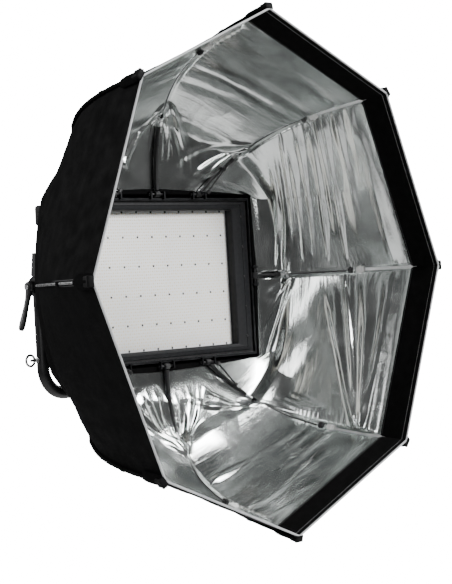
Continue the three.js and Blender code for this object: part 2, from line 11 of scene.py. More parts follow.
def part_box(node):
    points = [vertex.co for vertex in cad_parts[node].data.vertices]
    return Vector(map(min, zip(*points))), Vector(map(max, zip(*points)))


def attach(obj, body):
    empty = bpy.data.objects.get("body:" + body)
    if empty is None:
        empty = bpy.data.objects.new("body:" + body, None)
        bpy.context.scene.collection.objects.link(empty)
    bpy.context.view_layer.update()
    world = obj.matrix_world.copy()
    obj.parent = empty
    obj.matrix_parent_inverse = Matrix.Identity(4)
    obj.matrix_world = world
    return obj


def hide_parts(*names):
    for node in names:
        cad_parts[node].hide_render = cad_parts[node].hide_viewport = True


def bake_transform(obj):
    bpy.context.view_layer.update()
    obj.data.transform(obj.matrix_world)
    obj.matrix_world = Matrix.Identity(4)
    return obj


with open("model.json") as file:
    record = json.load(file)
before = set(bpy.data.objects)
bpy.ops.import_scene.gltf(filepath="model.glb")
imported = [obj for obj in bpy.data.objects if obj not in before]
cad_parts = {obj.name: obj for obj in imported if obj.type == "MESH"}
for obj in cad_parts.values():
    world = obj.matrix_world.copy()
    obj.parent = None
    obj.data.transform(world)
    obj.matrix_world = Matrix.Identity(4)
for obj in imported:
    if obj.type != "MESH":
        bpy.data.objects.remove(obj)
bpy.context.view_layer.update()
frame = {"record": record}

# ---- Sizes taken from the frame ------------------------------------------------------------------
HINGE = {joint["name"]: Vector(joint["pos_m"]) for joint in frame["record"]["behaviour"]["joints"]}
AXIS_Z = HINGE["tilt"].z
ROOT_Y = HINGE["fold"].y
HINGE_Z = HINGE["fold"].z - AXIS_Z
HINGE_X = HINGE["fold_right"].x
SLANT_X = HINGE["fold_top_right"].x
RIM_RADIUS = 0.600
RIM_DEPTH = 0.384
ARM_SPAN = 0.22
# Where a rib's curve bends: shares of its reach, then of the rim's depth.
LONG_BEND = (0.70, 0.85, 0.30)
SIDE_BEND = (0.42, 0.76, 0.37)

# The cloth runs behind the arms near the frame, and inside the rods from there to the rim.
COVER_BEHIND = -0.0085
LINING_BEHIND = -0.0071
COVER_INSIDE = 0.0045
LINING_INSIDE = 0.0062
HEM_DEPTH = 0.070
# Width of the black band at the lining's base: painted shade and dark reflection beside the frame.
SHADE_BAND_DEPTH = 0.014

FORWARD = np.array([0, -1, 0])
BOX_MIDDLE = np.array([0, -0.25, AXIS_Z])
# Half width and half height of the adapter frame's outside and of the lamp's window.
FRAME_HALF = (0.331, 0.197)
FRAME_WALL = 0.006
WINDOW_HALF = (0.2670, 0.1675)
# Where the yoke's legs stand, and where the hubs' outer faces meet the lever and the nut.
YOKE_HALF = 0.3615
HUB_FACE = 0.3777


# ---- Camera --------------------------------------------------------------------------------------
def make_camera():
    data = bpy.data.cameras.new("camera")
    data.lens = 110.23
    data.sensor_width = 36
    data.clip_end = 50
    camera = bpy.data.objects.new("camera", data)
    bpy.context.scene.collection.objects.link(camera)
    forward = Vector((0.74171, 0.67072, -0.00067)).normalized()
    right = Vector((0.66961, -0.74053, -0.05689)).normalized()
    up = right.cross(forward)
    turn = Matrix((right, up, -forward)).transposed()
    camera.matrix_world = Matrix.Translation((-3.0725, -3.0201, 0.2508)) @ turn.to_4x4()
    bpy.context.scene.camera = camera


make_camera()


# ---- Materials -----------------------------------------------------------------------------------
class Surface:
    """A material's node tree, with short ways to add nodes to it."""

    def __init__(self, name, color, roughness, metallic=0.0, **sockets):
        self.material = bpy.data.materials.new(name)
        self.material.use_nodes = True
        self.tree = self.material.node_tree
        self.shader = self.tree.nodes["Principled BSDF"]
        self.shader.inputs["Base Color"].default_value = (*color, 1)
        self.shader.inputs["Roughness"].default_value = roughness
        self.shader.inputs["Metallic"].default_value = metallic
        for socket, value in sockets.items():
            self.shader.inputs[socket.replace("_", " ")].default_value = value
        self.coordinates = self.node("ShaderNodeTexCoord").outputs["Object"]

    def node(self, kind, **values):
        made = self.tree.nodes.new(kind)
        for name, value in values.items():
            setattr(made, name, value)
        return made

    def link(self, source, target):
        self.tree.links.new(source, target)

    def stretched(self, scale, source=None):
        mapping = self.node("ShaderNodeMapping")
        mapping.inputs["Scale"].default_value = scale
        self.link(source or self.coordinates, mapping.inputs["Vector"])
        return mapping.outputs["Vector"]

    def cloth_coordinates(self):
        return self.node("ShaderNodeAttribute", attribute_name="weave").outputs["Vector"]

    def noise(self, scale, detail=3.0, source=None, distortion=0.0):
        noise = self.node("ShaderNodeTexNoise")
        noise.inputs["Scale"].default_value = scale
        noise.inputs["Detail"].default_value = detail
        noise.inputs["Distortion"].default_value = distortion
        self.link(source or self.coordinates, noise.inputs["Vector"])
        return noise.outputs["Fac"]

    def cells(self, scale):
        cells = self.node("ShaderNodeTexVoronoi", feature="F1")
        cells.inputs["Scale"].default_value = scale
        self.link(self.coordinates, cells.inputs["Vector"])
        return cells.outputs["Distance"]

    def wave(self, scale, axis, source=None):
        wave = self.node("ShaderNodeTexWave", bands_direction=axis)
        wave.inputs["Scale"].default_value = scale
        self.link(source or self.coordinates, wave.inputs["Vector"])
        return wave.outputs["Fac"]

    def product(self, first, second):
        made = self.node("ShaderNodeMath", operation="MULTIPLY")
        self.link(first, made.inputs[0])
        self.link(second, made.inputs[1])
        return made.outputs["Value"]

    def ramp(self, source, low, high, start=0.3, end=0.7):
        ramp = self.node("ShaderNodeMapRange")
        ramp.inputs["From Min"].default_value = start
        ramp.inputs["From Max"].default_value = end
        ramp.inputs["To Min"].default_value = low
        ramp.inputs["To Max"].default_value = high
        self.link(source, ramp.inputs["Value"])
        return ramp.outputs["Result"]

    def blend_color(self, factor, first, second, start=0.3, end=0.7):
        mix = self.node("ShaderNodeMix", data_type="RGBA")
        self.link(self.ramp(factor, 0.0, 1.0, start, end), mix.inputs["Factor"])
        mix.inputs[6].default_value = (*first, 1)
        mix.inputs[7].default_value = (*second, 1)
        self.link(mix.outputs[2], self.shader.inputs["Base Color"])

    def rough(self, source, low, high, start=0.3, end=0.7):
        self.link(self.ramp(source, low, high, start, end), self.shader.inputs["Roughness"])

    def bump(self, height, strength, distance):
        bump = self.node("ShaderNodeBump")
        bump.inputs["Strength"].default_value = strength
        bump.inputs["Distance"].default_value = distance
        self.link(height, bump.inputs["Height"])
        before = self.shader.inputs["Normal"]
        if before.is_linked:
            self.link(before.links[0].from_socket, bump.inputs["Normal"])
        self.link(bump.outputs["Normal"], before)

    def weave(self, pitch, strength, distance):
        """Threads along and across the cloth."""
        source = self.cloth_coordinates()
        waves = math.pi / (10 * pitch)
        across = self.wave(waves, "X", source)
        along = self.wave(waves, "Y", source)
        self.bump(self.product(across, along), strength, distance)


def cloth_black():
    s = Surface("cover_cloth", (0.0018, 0.0018, 0.0019), 0.8, Specular_IOR_Level=0.045)
    s.blend_color(s.noise(9, 4), (0.0014, 0.0014, 0.0015), (0.0024, 0.0024, 0.0026))
    s.rough(s.noise(30, 4), 0.65, 0.85)
    s.bump(s.noise(26, 5), 0.15, 0.004)
    s.weave(0.0011, 0.5, 0.0004)
    return s.material


def silver_lining():
    """Metallised cloth: soft mirror with faint creases and a fine weave."""
    s = Surface("silver_lining", (0.55, 0.57, 0.56), 0.2, 1.0)
    s.blend_color(s.noise(6, 4, distortion=0.5), (0.47, 0.49, 0.485), (0.62, 0.64, 0.63))
    s.rough(s.noise(14, 4, distortion=0.6), 0.13, 0.24)
    s.bump(s.noise(11, 3, distortion=0.8), 0.10, 0.008)
    s.bump(s.noise(70, 4, distortion=1.5), 0.09, 0.0020)
    along_folds = s.stretched((6, 48, 1), s.cloth_coordinates())
    s.bump(s.noise(1.0, 4, along_folds, 0.8), 0.34, 0.0030)
    s.bump(s.noise(420, 3), 0.10, 0.0006)
    s.weave(0.0016, 0.14, 0.0003)
    return s.material


def hem_tape():
    s = Surface("hem_band", (0.0025, 0.0025, 0.0026), 0.9, Specular_IOR_Level=0.035)
    s.blend_color(s.noise(60, 5), (0.0018, 0.0018, 0.0019), (0.0034, 0.0034, 0.0036))
    s.bump(s.noise(900, 2), 0.6, 0.0008)
    s.weave(0.0022, 0.35, 0.0005)
    return s.material


def stitch_thread(name, color):
    s = Surface(name, color, 0.7, Sheen_Weight=0.2)
    s.bump(s.noise(1500, 2), 0.4, 0.0003)
    s.rough(s.noise(300), 0.6, 0.8)
    return s.material


def piping_grey():
    s = Surface("piping", (0.50, 0.51, 0.52), 0.55, Sheen_Weight=0.2)
    s.blend_color(s.noise(40, 4), (0.42, 0.43, 0.44), (0.58, 0.59, 0.60))
    s.bump(s.wave(260, "DIAGONAL"), 0.5, 0.0006)
    return s.material


def seam_tape():
    s = Surface("seam_tape", (0.66, 0.665, 0.67), 0.38, 1.0)
    s.blend_color(s.noise(30, 4), (0.45, 0.455, 0.46), (0.72, 0.72, 0.73))
    s.rough(s.noise(50, 3), 0.28, 0.5)
    s.bump(s.noise(70, 4, distortion=1.0), 0.4, 0.003)
    s.weave(0.0012, 0.5, 0.0004)
    return s.material


def drawn_steel(name="rib_rod", color=(0.60, 0.605, 0.61), roughness=0.28):
    s = Surface(name, color, roughness, 1.0)
    s.blend_color(s.noise(60, 4), [c * 0.82 for c in color], color)
    s.rough(s.noise(220, 3), roughness - 0.06, roughness + 0.12)
    s.bump(s.noise(900, 2), 0.08, 0.0002)
    return s.material


def satin_black(name, color=(0.007, 0.007, 0.0076), roughness=0.42, grain=700):
    """Powder coat: fine orange peel, with slightly paler worn patches."""
    s = Surface(name, color, roughness, Specular_IOR_Level=0.35)
    s.blend_color(s.noise(24, 5), color, [c * 1.7 for c in color], 0.45, 0.75)
    s.rough(s.noise(40, 4), roughness - 0.08, roughness + 0.12)
    s.bump(s.noise(grain, 2), 0.18, 0.0004)
    return s.material


def moulded_plastic(name, color, roughness=0.55, grain=1300, specular=0.4):
    s = Surface(name, color, roughness, Specular_IOR_Level=specular)
    s.blend_color(s.noise(18, 4), [c * 0.85 for c in color], [c * 1.15 for c in color])
    s.rough(s.noise(90, 3), roughness - 0.07, roughness + 0.10)
    s.bump(s.cells(grain), 0.22, 0.0003)
    return s.material


def anodised_frame():
    s = Surface("adapter_frame", (0.035, 0.036, 0.038), 0.36, 1.0)
    s.blend_color(s.noise(50, 5), (0.025, 0.026, 0.028), (0.05, 0.051, 0.053))
    s.rough(s.noise(320, 3, s.stretched((0.1, 1, 1))), 0.28, 0.46)
    s.bump(s.noise(800, 2, s.stretched((0.05, 1, 1))), 0.12, 0.0002)
    return s.material


def bare_edge():
    """The frame's cut rear edge, bright where the black finish has been machined off."""
    s = Surface("frame_edge", (0.72, 0.725, 0.73), 0.25, 1.0)
    s.blend_color(s.noise(60, 4), (0.62, 0.625, 0.63), (0.80, 0.80, 0.81))
    s.rough(s.noise(240, 3, s.stretched((0.1, 1, 1))), 0.18, 0.36)
    s.bump(s.noise(500, 2, s.stretched((0.04, 1, 1))), 0.15, 0.0002)
    return s.material


def rubber():
    s = Surface("bumper", (0.011, 0.011, 0.012), 0.8, Specular_IOR_Level=0.3)
    s.blend_color(s.noise(35, 5), (0.009, 0.009, 0.0095), (0.018, 0.018, 0.019))
    s.bump(s.cells(800), 0.35, 0.0004)
    return s.material


def board_white():
    s = Surface("led_board", (0.80, 0.80, 0.79), 0.42, Specular_IOR_Level=0.45)
    s.blend_color(s.noise(12, 3), (0.77, 0.775, 0.78), (0.83, 0.825, 0.81))
    s.bump(s.noise(600, 2), 0.12, 0.0002)
    return s.material


def emitter(name, color):
    s = Surface(name, color, 0.3, Coat_Weight=0.4, Coat_Roughness=0.15)
    s.blend_color(s.noise(90, 2), [c * 0.94 for c in color], color)
    s.bump(s.noise(700, 2), 0.1, 0.0002)
    return s.material


def screen_glass():
    s = Surface("display", (0.006, 0.008, 0.011), 0.12, Coat_Weight=0.6, Coat_Roughness=0.05)
    s.blend_color(s.noise(20, 2), (0.005, 0.007, 0.010), (0.010, 0.013, 0.018))
    s.rough(s.noise(35, 3), 0.08, 0.2)
    return s.material


def floor_white():
    s = Surface("floor", (0.86, 0.86, 0.855), 0.85)
    s.blend_color(s.noise(0.7, 3), (0.85, 0.85, 0.845), (0.88, 0.88, 0.875))
    return s.material


COVER = cloth_black()
LINING = silver_lining()
HEM = hem_tape()
THREAD_BLACK = stitch_thread("thread_black", (0.035, 0.035, 0.037))
THREAD_GREY = stitch_thread("thread_grey", (0.30, 0.30, 0.31))
PIPING = piping_grey()
TAPE = seam_tape()
ROD = drawn_steel()
STEEL = drawn_steel("steel", (0.42, 0.425, 0.43), 0.34)
ARM = satin_black("rib_arm")
YOKE_PAINT = satin_black("yoke_paint", (0.0065, 0.0065, 0.007), 0.38)
LATCH = satin_black("latch", (0.010, 0.010, 0.011), 0.40)
LAMP_PAINT = satin_black("lamp_metal", (0.010, 0.0105, 0.012), 0.48, 1100)
LAMP_PLASTIC = moulded_plastic("lamp_plastic", (0.0062, 0.0066, 0.0078), specular=0.22)
CONTROL_PLASTIC = moulded_plastic("control_plastic", (0.006, 0.006, 0.0068), 0.45)
CAP_PLASTIC = moulded_plastic("cap_plastic", (0.0030, 0.0030, 0.0033), 0.7, specular=0.12)
CLIP_WHITE = moulded_plastic("clip_white", (0.62, 0.62, 0.61), 0.35)
FRAME_METAL = anodised_frame()
FRAME_EDGE = bare_edge()
RUBBER = rubber()
BOARD = board_white()
WARM = emitter("emitter_warm", (0.82, 0.70, 0.46))
COOL = emitter("emitter_cool", (0.80, 0.80, 0.72))
SCREEN = screen_glass()


# ---- Mesh helpers --------------------------------------------------------------------------------
def new_object(name, vertices, faces, material, smooth=True):
    mesh = bpy.data.meshes.new(name)
    mesh.from_pydata([tuple(map(float, v)) for v in vertices], [], faces)
    mesh.validate()
    mesh.polygons.foreach_set("use_smooth", [smooth] * len(mesh.polygons))
    made = bpy.data.objects.new(name, mesh)
    bpy.context.scene.collection.objects.link(made)
    mesh.materials.append(material)
    return made


def outward_faces(made):
    """Turns a closed mesh's faces to point out."""
    work = bmesh.new()
    work.from_mesh(made.data)
    bmesh.ops.recalc_face_normals(work, faces=work.faces)
    work.to_mesh(made.data)
    work.free()
    return made


def sharp_edges(made, degrees=35):
    """Smooth shading that stops at edges sharper than the angle."""
    work = bmesh.new()
    work.from_mesh(made.data)
    limit = math.radians(degrees)
    for edge in work.edges:
        edge.smooth = len(edge.link_faces) == 2 and edge.calc_face_angle(0) < limit
    work.to_mesh(made.data)
    work.free()
    return made


def joined(name, parts):
    """One object from several, each keeping its own materials."""
    for part in parts:
        part.select_set(False)
    with bpy.context.temp_override(active_object=parts[0], selected_objects=parts,
                                   selected_editable_objects=parts):
        bpy.ops.object.join()
    parts[0].name = name
    parts[0].data.name = name
    return parts[0]


def bevelled(made, width, segments=3, degrees=35):
    """Rounds a made object's sharp edges, with the result in its mesh."""
    work = bmesh.new()
    work.from_mesh(made.data)
    bmesh.ops.recalc_face_normals(work, faces=work.faces)
    limit = math.radians(degrees)
    edges = [e for e in work.edges if len(e.link_faces) == 2 and e.calc_face_angle(0) > limit]
    bmesh.ops.bevel(work, geom=edges, offset=width, segments=segments, profile=0.5,
                    affect="EDGES", clamp_overlap=True)
    for face in work.faces:
        face.smooth = True
    work.to_mesh(made.data)
    work.free()
    return sharp_edges(made, 50)


def ring_faces(rings, size, loop=False):
    """Quads between neighbouring rings of points. With loop the last ring joins the first;
    otherwise both ends are capped."""
    faces = []
    for j in range(rings if loop else rings - 1):
        here, there = j * size, ((j + 1) % rings) * size
        for k in range(size):
            n = (k + 1) % size
            faces.append((here + k, here + n, there + n, there + k))
    if not loop:
        faces.append(tuple(range(size)))
        faces.append(tuple((rings - 1) * size + k for k in range(size)))
    return faces


def lathe(name, profile, material, origin, axis, sides=48):
    """A profile of (radius, height) pairs turned about an axis through origin. It makes a ring when
    its last pair is its first, and is capped at both ends when it isn't."""
    loop = profile[0] == profile[-1]
    rows = profile[:-1] if loop else profile
    axis = Vector(axis).normalized()
    side = axis.orthogonal().normalized()
    other = axis.cross(side)
    vertices = []
    for radius, height in rows:
        for k in range(sides):
            angle = 2 * math.pi * k / sides
            place = side * math.cos(angle) + other * math.sin(angle)
            vertices.append(Vector(origin) + axis * height + place * radius)
    faces = ring_faces(len(rows), sides, loop)
    return sharp_edges(outward_faces(new_object(name, vertices, faces, material)), 40)


def swept(name, points, section, material, ups=None, closed=False, scales=None):
    """Sweeps a closed section of (side, up) pairs along points."""
    points = [Vector(p) for p in points]
    count = len(points)
    vertices = []
    up = Vector(ups[0]) if ups else None
    for i, point in enumerate(points):
        ahead = points[(i + 1) % count] if closed or i < count - 1 else point
        behind = points[i - 1] if closed or i > 0 else point
        tangent = (ahead - behind).normalized()
        if ups:
            up = Vector(ups[i])
        elif up is None:
            up = tangent.orthogonal()
        up = (up - tangent * up.dot(tangent)).normalized()
        side = tangent.cross(up)
        scale = scales[i] if scales else 1.0
        vertices += [point + side * (a * scale) + up * (b * scale) for a, b in section]
    faces = ring_faces(count, len(section), closed)
    return sharp_edges(outward_faces(new_object(name, vertices, faces, material)), 50)


def ring_section(radius, sides=14):
    turns = [2 * math.pi * k / sides for k in range(sides)]
    return [(radius * math.cos(a), radius * math.sin(a)) for a in turns]


def round_rectangle(half_width, half_height, radius, steps=5):
    """Corner points of a rectangle with rounded corners, counter-clockwise."""
    points = []
    radius = max(radius, 1e-4)
    for quarter, (sx, sy) in enumerate(((1, 1), (-1, 1), (-1, -1), (1, -1))):
        for k in range(steps + 1):
            angle = math.pi / 2 * (quarter + k / steps)
            x = sx * (half_width - radius) + radius * math.cos(angle)
            y = sy * (half_height - radius) + radius * math.sin(angle)
            points.append((x, y))
    return points


def plate_rings(name, rings, material, centre=(0, 0), loop=False, steps=5):
    """Rounded rectangles in (x, z), each (half width, half height, radius, y), joined in turn.
    With loop the last joins the first, as in a picture frame; otherwise both ends are capped."""
    vertices = []
    for half_width, half_height, radius, y in rings:
        for x, z in round_rectangle(half_width, half_height, radius, steps):
            vertices.append((centre[0] + x, y, centre[1] + z))
    faces = ring_faces(len(rings), 4 * (steps + 1), loop)
    return sharp_edges(outward_faces(new_object(name, vertices, faces, material)), 40)


def stepped(half_sizes, steps, start=0.0):
    """Rings for plate_rings from (inset, radius, y) steps: each is smaller than the half sizes by its
    inset, and its y is counted from start."""
    half_width, half_height = half_sizes
    return [(half_width - inset, half_height - inset, radius, start + y) for inset, radius, y in steps]


def seen_along_y(low, high):
    """The (x, z) centre of a box, and its half width and half height."""
    centre = ((low[0] + high[0]) / 2, (low[2] + high[2]) / 2)
    return centre, ((high[0] - low[0]) / 2, (high[2] - low[2]) / 2)


def fluted(name, rows, sides, flutes, depth, place, loop):
    """A turned shape of (radius, height, grip) rows. Where grip is 1 the row has flutes, whose depth
    is a share of its radius. place turns two offsets from the axis and a height into a point."""
    vertices = []
    for radius, height, grip in rows:
        for k in range(sides):
            angle = 2 * math.pi * k / sides
            r = radius * (1 - depth * grip * (0.5 + 0.5 * math.cos(flutes * angle)))
            vertices.append(place(r * math.cos(angle), r * math.sin(angle), height))
    faces = ring_faces(len(rows), sides, loop)
    return sharp_edges(outward_faces(new_object(name, vertices, faces, CONTROL_PLASTIC)), 45)


def rounded_box(name, low, high, radius, material, segments=3):
    corners = [(x, y, z) for x in (low[0], high[0]) for y in (low[1], high[1]) for z in (low[2], high[2])]
    faces = [(0, 1, 3, 2), (4, 6, 7, 5), (0, 4, 5, 1), (2, 3, 7, 6), (0, 2, 6, 4), (1, 5, 7, 3)]
    return bevelled(new_object(name, corners, faces, material), radius, segments)


def set_weave(made, pairs):
    """Keeps the cloth's own (across, along) coordinates on the points of a mesh."""
    flat = np.zeros((len(pairs), 3), dtype=np.float32)
    flat[:, :2] = pairs
    attribute = made.data.attributes.new("weave", "FLOAT_VECTOR", "POINT")
    attribute.data.foreach_set("vector", flat.ravel())


def grid_object(name, points, weave, material):
    """A sheet from a grid of points, with the cloth's own coordinates for its weave."""
    rows, columns = points.shape[:2]
    at = np.arange(rows * columns).reshape(rows, columns)
    quads = np.stack([at[:-1, :-1], at[:-1, 1:], at[1:, 1:], at[1:, :-1]], axis=-1).reshape(-1, 4)
    made = new_object(name, points.reshape(-1, 3), quads.tolist(), material)
    set_weave(made, weave.reshape(-1, 2))
    return made


def screw_head(name, origin, axis, radius, material=None):
    """A pan head with a cross recess suggested by a dished centre."""
    profile = [(radius, 0), (radius, radius * 0.25), (radius * 0.85, radius * 0.5),
               (radius * 0.55, radius * 0.62), (radius * 0.45, radius * 0.60), (radius * 0.36, radius * 0.25)]
    return lathe(name, profile, material or STEEL, origin, axis, 20)


def walked_along(path):
    """How far along the path each of its points is."""
    return np.concatenate([[0], np.cumsum(np.linalg.norm(np.diff(path, axis=0), axis=1))])


# ---- Ribs ----------------------------------------------------------------------------------------
class Rib:
    """One rib: its curve from the frame to the rim, and the directions beside it."""

    def __init__(self, name, x, z, degrees, along):
        self.name = name
        self.body = f"rib_{name}"
        self.root = np.array([x, ROOT_Y, z + AXIS_Z])
        angle = math.radians(degrees)
        tip = (RIM_RADIUS * math.cos(angle), RIM_RADIUS * math.sin(angle))
        flat = np.array([tip[0] - x, 0, tip[1] - z])
        self.reach = float(np.linalg.norm(flat))
        self.outward = flat / self.reach
        self.across = np.array([-self.outward[2], 0, self.outward[0]])
        self.hinge = np.array(along, float)
        r, d = self.reach, RIM_DEPTH
        first_out, second_out, second_forward = SIDE_BEND if along[2] else LONG_BEND
        self.controls = np.array([[0, 0], [first_out * r, 0], [second_out * r, second_forward * d], [r, d]])

    def profile(self, t):
        """(out, forward) and their rate of change at t, for an array of t."""
        t = np.asarray(t, float)[..., None]
        a, b, c, d = self.controls
        place = (1 - t) ** 3 * a + 3 * (1 - t) ** 2 * t * b + 3 * (1 - t) * t**2 * c + t**3 * d
        rate = 3 * (1 - t) ** 2 * (b - a) + 6 * (1 - t) * t * (c - b) + 3 * t**2 * (d - c)
        return place, rate

    def lift(self, place):
        return self.root + place[..., :1] * self.outward + place[..., 1:] * FORWARD

    def inward(self, t):
        """The unit direction across the rib, into the box."""
        rate = self.profile(t)[1]
        rate = rate / np.linalg.norm(rate, axis=-1, keepdims=True)
        return -rate[..., 1:] * self.outward + rate[..., :1] * FORWARD

    def point(self, t, inset=0.0):
        place = self.profile(t)[0]
        return self.lift(place) + np.asarray(inset)[..., None] * self.inward(t)

    def t_from_rim(self, distance):
        """Where on the curve the rim is this far away, along the rib."""
        t = np.linspace(1, 0, 800)
        return float(np.interp(distance, walked_along(self.point(t)), t))

    def t_from_root(self, distance):
        """Where on the curve the frame is this far away, for short distances."""
        return distance / (3 * self.controls[1][0])


RIBS = [
    Rib("right", HINGE_X, 0, 0, (0, 0, 1)),
    Rib("top_right", SLANT_X, HINGE_Z, 45, (1, 0, 0)),
    Rib("top", 0, HINGE_Z, 90, (1, 0, 0)),
    Rib("top_left", -SLANT_X, HINGE_Z, 135, (1, 0, 0)),
    Rib("left", -HINGE_X, 0, 180, (0, 0, 1)),
    Rib("bottom_left", -SLANT_X, -HINGE_Z, 225, (1, 0, 0)),
    Rib("bottom", 0, -HINGE_Z, 270, (1, 0, 0)),
    Rib("bottom_right", SLANT_X, -HINGE_Z, 315, (1, 0, 0)),
]
rib_named = {rib.name: rib for rib in RIBS}


def smoothstep(t, low, high):
    s = np.clip((np.asarray(t, float) - low) / (high - low), 0, 1)
    return s * s * (3 - 2 * s)


def inset(t, behind, inside):
    """How far inside the rib's line the cloth lies: behind the arm first, then inside the rod."""
    return behind + (inside - behind) * smoothstep(t, ARM_SPAN + 0.02, ARM_SPAN + 0.10)


# ---- Cloth panels --------------------------------------------------------------------------------
class Panel:
    """One piece of a gore, and the bodies that carry it. A gore reaches from one rib (v = 0) to the
    next (v = 1); a corner gore is in two halves that meet at its crease (v = 0.5)."""

    def __init__(self, name, node, ribs, v_range, corner, blend):
        self.name = name
        self.node = node
        self.ribs = ribs
        self.v_range = v_range
        self.corner = corner
        self.blend = blend

    def across(self, u):
        """v across the whole gore, from this piece's own u from 0 to 1."""
        return self.v_range[0] + u * (self.v_range[1] - self.v_range[0])


def straight_panels():
    for top in ("top", "bottom"):
        for side, sign in (("right", 1), ("left", -1)):
            middle, slant = rib_named[top], rib_named[f"{top}_{side}"]
            start = (0, ROOT_Y, middle.root[2])
            end = (sign * SLANT_X, ROOT_Y, middle.root[2])
            yield Panel(f"{top}_{side}", f"fabric_{top}_{side}", (middle, slant), (0, 1), None,
                        (middle.body, slant.body, start, end))


BLEND_SPAN = 0.110


def corner_panels():
    for top, up in (("top", 1), ("bottom", -1)):
        for side, sign in (("right", 1), ("left", -1)):
            slant, beside = rib_named[f"{top}_{side}"], rib_named[side]
            corner = np.array([sign * HINGE_X, ROOT_Y, AXIS_Z + up * HINGE_Z])
            near, far = ("upper", "lower") if up > 0 else ("lower", "upper")
            near_name, far_name = (f"corner_{top}_{side}_{half}" for half in (near, far))
            end = slant.root - BLEND_SPAN * sign * up * slant.across
            yield Panel(near_name, near_name, (beside, slant), (0.5, 1), corner,
                        (slant.body, near_name, slant.root, end))
            end = beside.root + np.array([0, 0, up * BLEND_SPAN])
            yield Panel(far_name, far_name, (beside, slant), (0, 0.5), corner,
                        (beside.body, far_name, beside.root, end))


def carry(piece):
    """Bakes the piece's placement into its mesh."""
    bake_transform(piece)
    return piece


def stretched_cloth(panel, u, t, behind, inside):
    """Points of the smooth cloth at each (u, t) pair of two equal grids. A corner gore has a sharp
    crease at the frame's corner, which opens into one soft curve further out."""
    v = panel.across(u)[..., None]
    first, second = (rib.point(t, inset(t, behind, inside)) for rib in panel.ribs)
    straight = first + v * (second - first)
    if panel.corner is None:
        return straight
    middle = (panel.ribs[0].root + panel.ribs[1].root) / 2
    push = ((1 - t) ** 3)[..., None] * (panel.corner - middle)
    creased = straight + push * (1 - np.abs(2 * v - 1))
    curved = straight + push * 4 * v * (1 - v)
    share = smoothstep(t, 0.02, 0.45)[..., None]
    return creased + share * (curved - creased)


def inward_normals(points):
    """Unit normals of a grid of points, turned into the box."""
    across = np.gradient(points, axis=1)
    along = np.gradient(points, axis=0)
    normal = np.cross(across, along)
    normal /= np.maximum(np.linalg.norm(normal, axis=-1, keepdims=True), 1e-12)
    to_inside = BOX_MIDDLE - points
    flip = np.sign((normal * to_inside).sum(axis=-1, keepdims=True))
    return normal * flip


def soft_noise(u, t, count, low, high, seed):
    """Smooth random relief: a sum of plane waves with wave numbers between low and high."""
    own = np.random.default_rng(seed)
    relief = np.zeros_like(u)
    for _ in range(count):
        angle = own.uniform(0, 2 * math.pi)
        size = own.uniform(low, high)
        phase = own.uniform(0, 2 * math.pi)
        relief += np.sin(2 * math.pi * size * (u * math.cos(angle) + t * math.sin(angle)) + phase) / size
    return relief / np.abs(relief).max()


def ridge(v, t, start, end, width, height, bend=0.0, fade_from=0.5):
    """One pulled fold from start to end in (v, t): a crest that widens and fades along its way."""
    dv, dt = end[0] - start[0], end[1] - start[1]
    length = math.hypot(dv, dt)
    along = ((v - start[0]) * dv + (t - start[1]) * dt) / length**2
    off = ((v - start[0]) * dt - (t - start[1]) * dv) / length + bend * along * (1 - along)
    spread = width * (0.55 + 0.7 * np.clip(along, 0, 1))
    fade = smoothstep(along, -0.02, 0.12) * (1 - smoothstep(along, fade_from, 1.0))
    return height * np.exp(-((off / spread) ** 2)) * fade


def fan_folds(v, t, own, from_v, count):
    """Folds that spread from where an arm ends, at the rib on side from_v (0 or 1), to the frame."""
    relief = np.zeros_like(v)
    away = 1 - 2 * from_v
    for k in range(count):
        spread = 0.06 + 0.84 * (k + own.uniform(0.2, 0.8)) / count
        start = (from_v, ARM_SPAN + own.uniform(0.08, 0.15))
        end = (from_v + away * spread, own.uniform(0.02, 0.12))
        relief += ridge(v, t, start, end, own.uniform(0.013, 0.024), own.uniform(0.0022, 0.0044),
                        own.uniform(-0.04, 0.04), 0.6)
    return relief


def crossing_folds(v, t, own, folds):
    """Long, nearly parallel folds from rib to rib. Those near the frame lean most towards the rim."""
    relief = np.zeros_like(v)
    for k in range(folds.count):
        share = (k + own.uniform(0.2, 0.8)) / folds.count
        near_t = folds.low + (folds.high - folds.low) * share
        far_t = near_t + folds.lean * (1 - share) + own.uniform(-0.02, 0.02)
        ends = ((0.0, near_t), (1.0, far_t))
        if own.random() < 0.5:
            ends = ends[::-1]
        relief += ridge(v, t, *ends, own.uniform(*folds.width), own.uniform(*folds.height),
                        own.uniform(-0.05, 0.05), own.uniform(0.45, 0.95))
    return relief


def rib_folds(v, t, own, count):
    """Narrow folds pulled along the slanting rib, from the frame outwards."""
    relief = np.zeros_like(v)
    for k in range(count):
        start = (0.76 + 0.07 * k, 0.14 + 0.05 * k)
        end = (0.92 + 0.02 * k, own.uniform(0.60, 0.76))
        relief += ridge(v, t, start, end, 0.018, own.uniform(0.0022, 0.0036), 0.02, 0.7)
    return relief


class Folds:
    """How many long folds cross one kind of gore, where, how steeply, and their size in metres."""

    def __init__(self, count, low, high, lean, width, height):
        self.count = count
        self.low = low
        self.high = high
        self.lean = lean
        self.width = width
        self.height = height


STRAIGHT_FOLDS = Folds(4, 0.46, 0.84, 0.08, (0.022, 0.040), (0.0025, 0.0048))
UPPER_FOLDS = Folds(12, 0.18, 0.93, 0.26, (0.014, 0.030), (0.0030, 0.0065))
LOWER_FOLDS = Folds(7, 0.46, 0.84, 0.36, (0.013, 0.028), (0.0030, 0.0065))


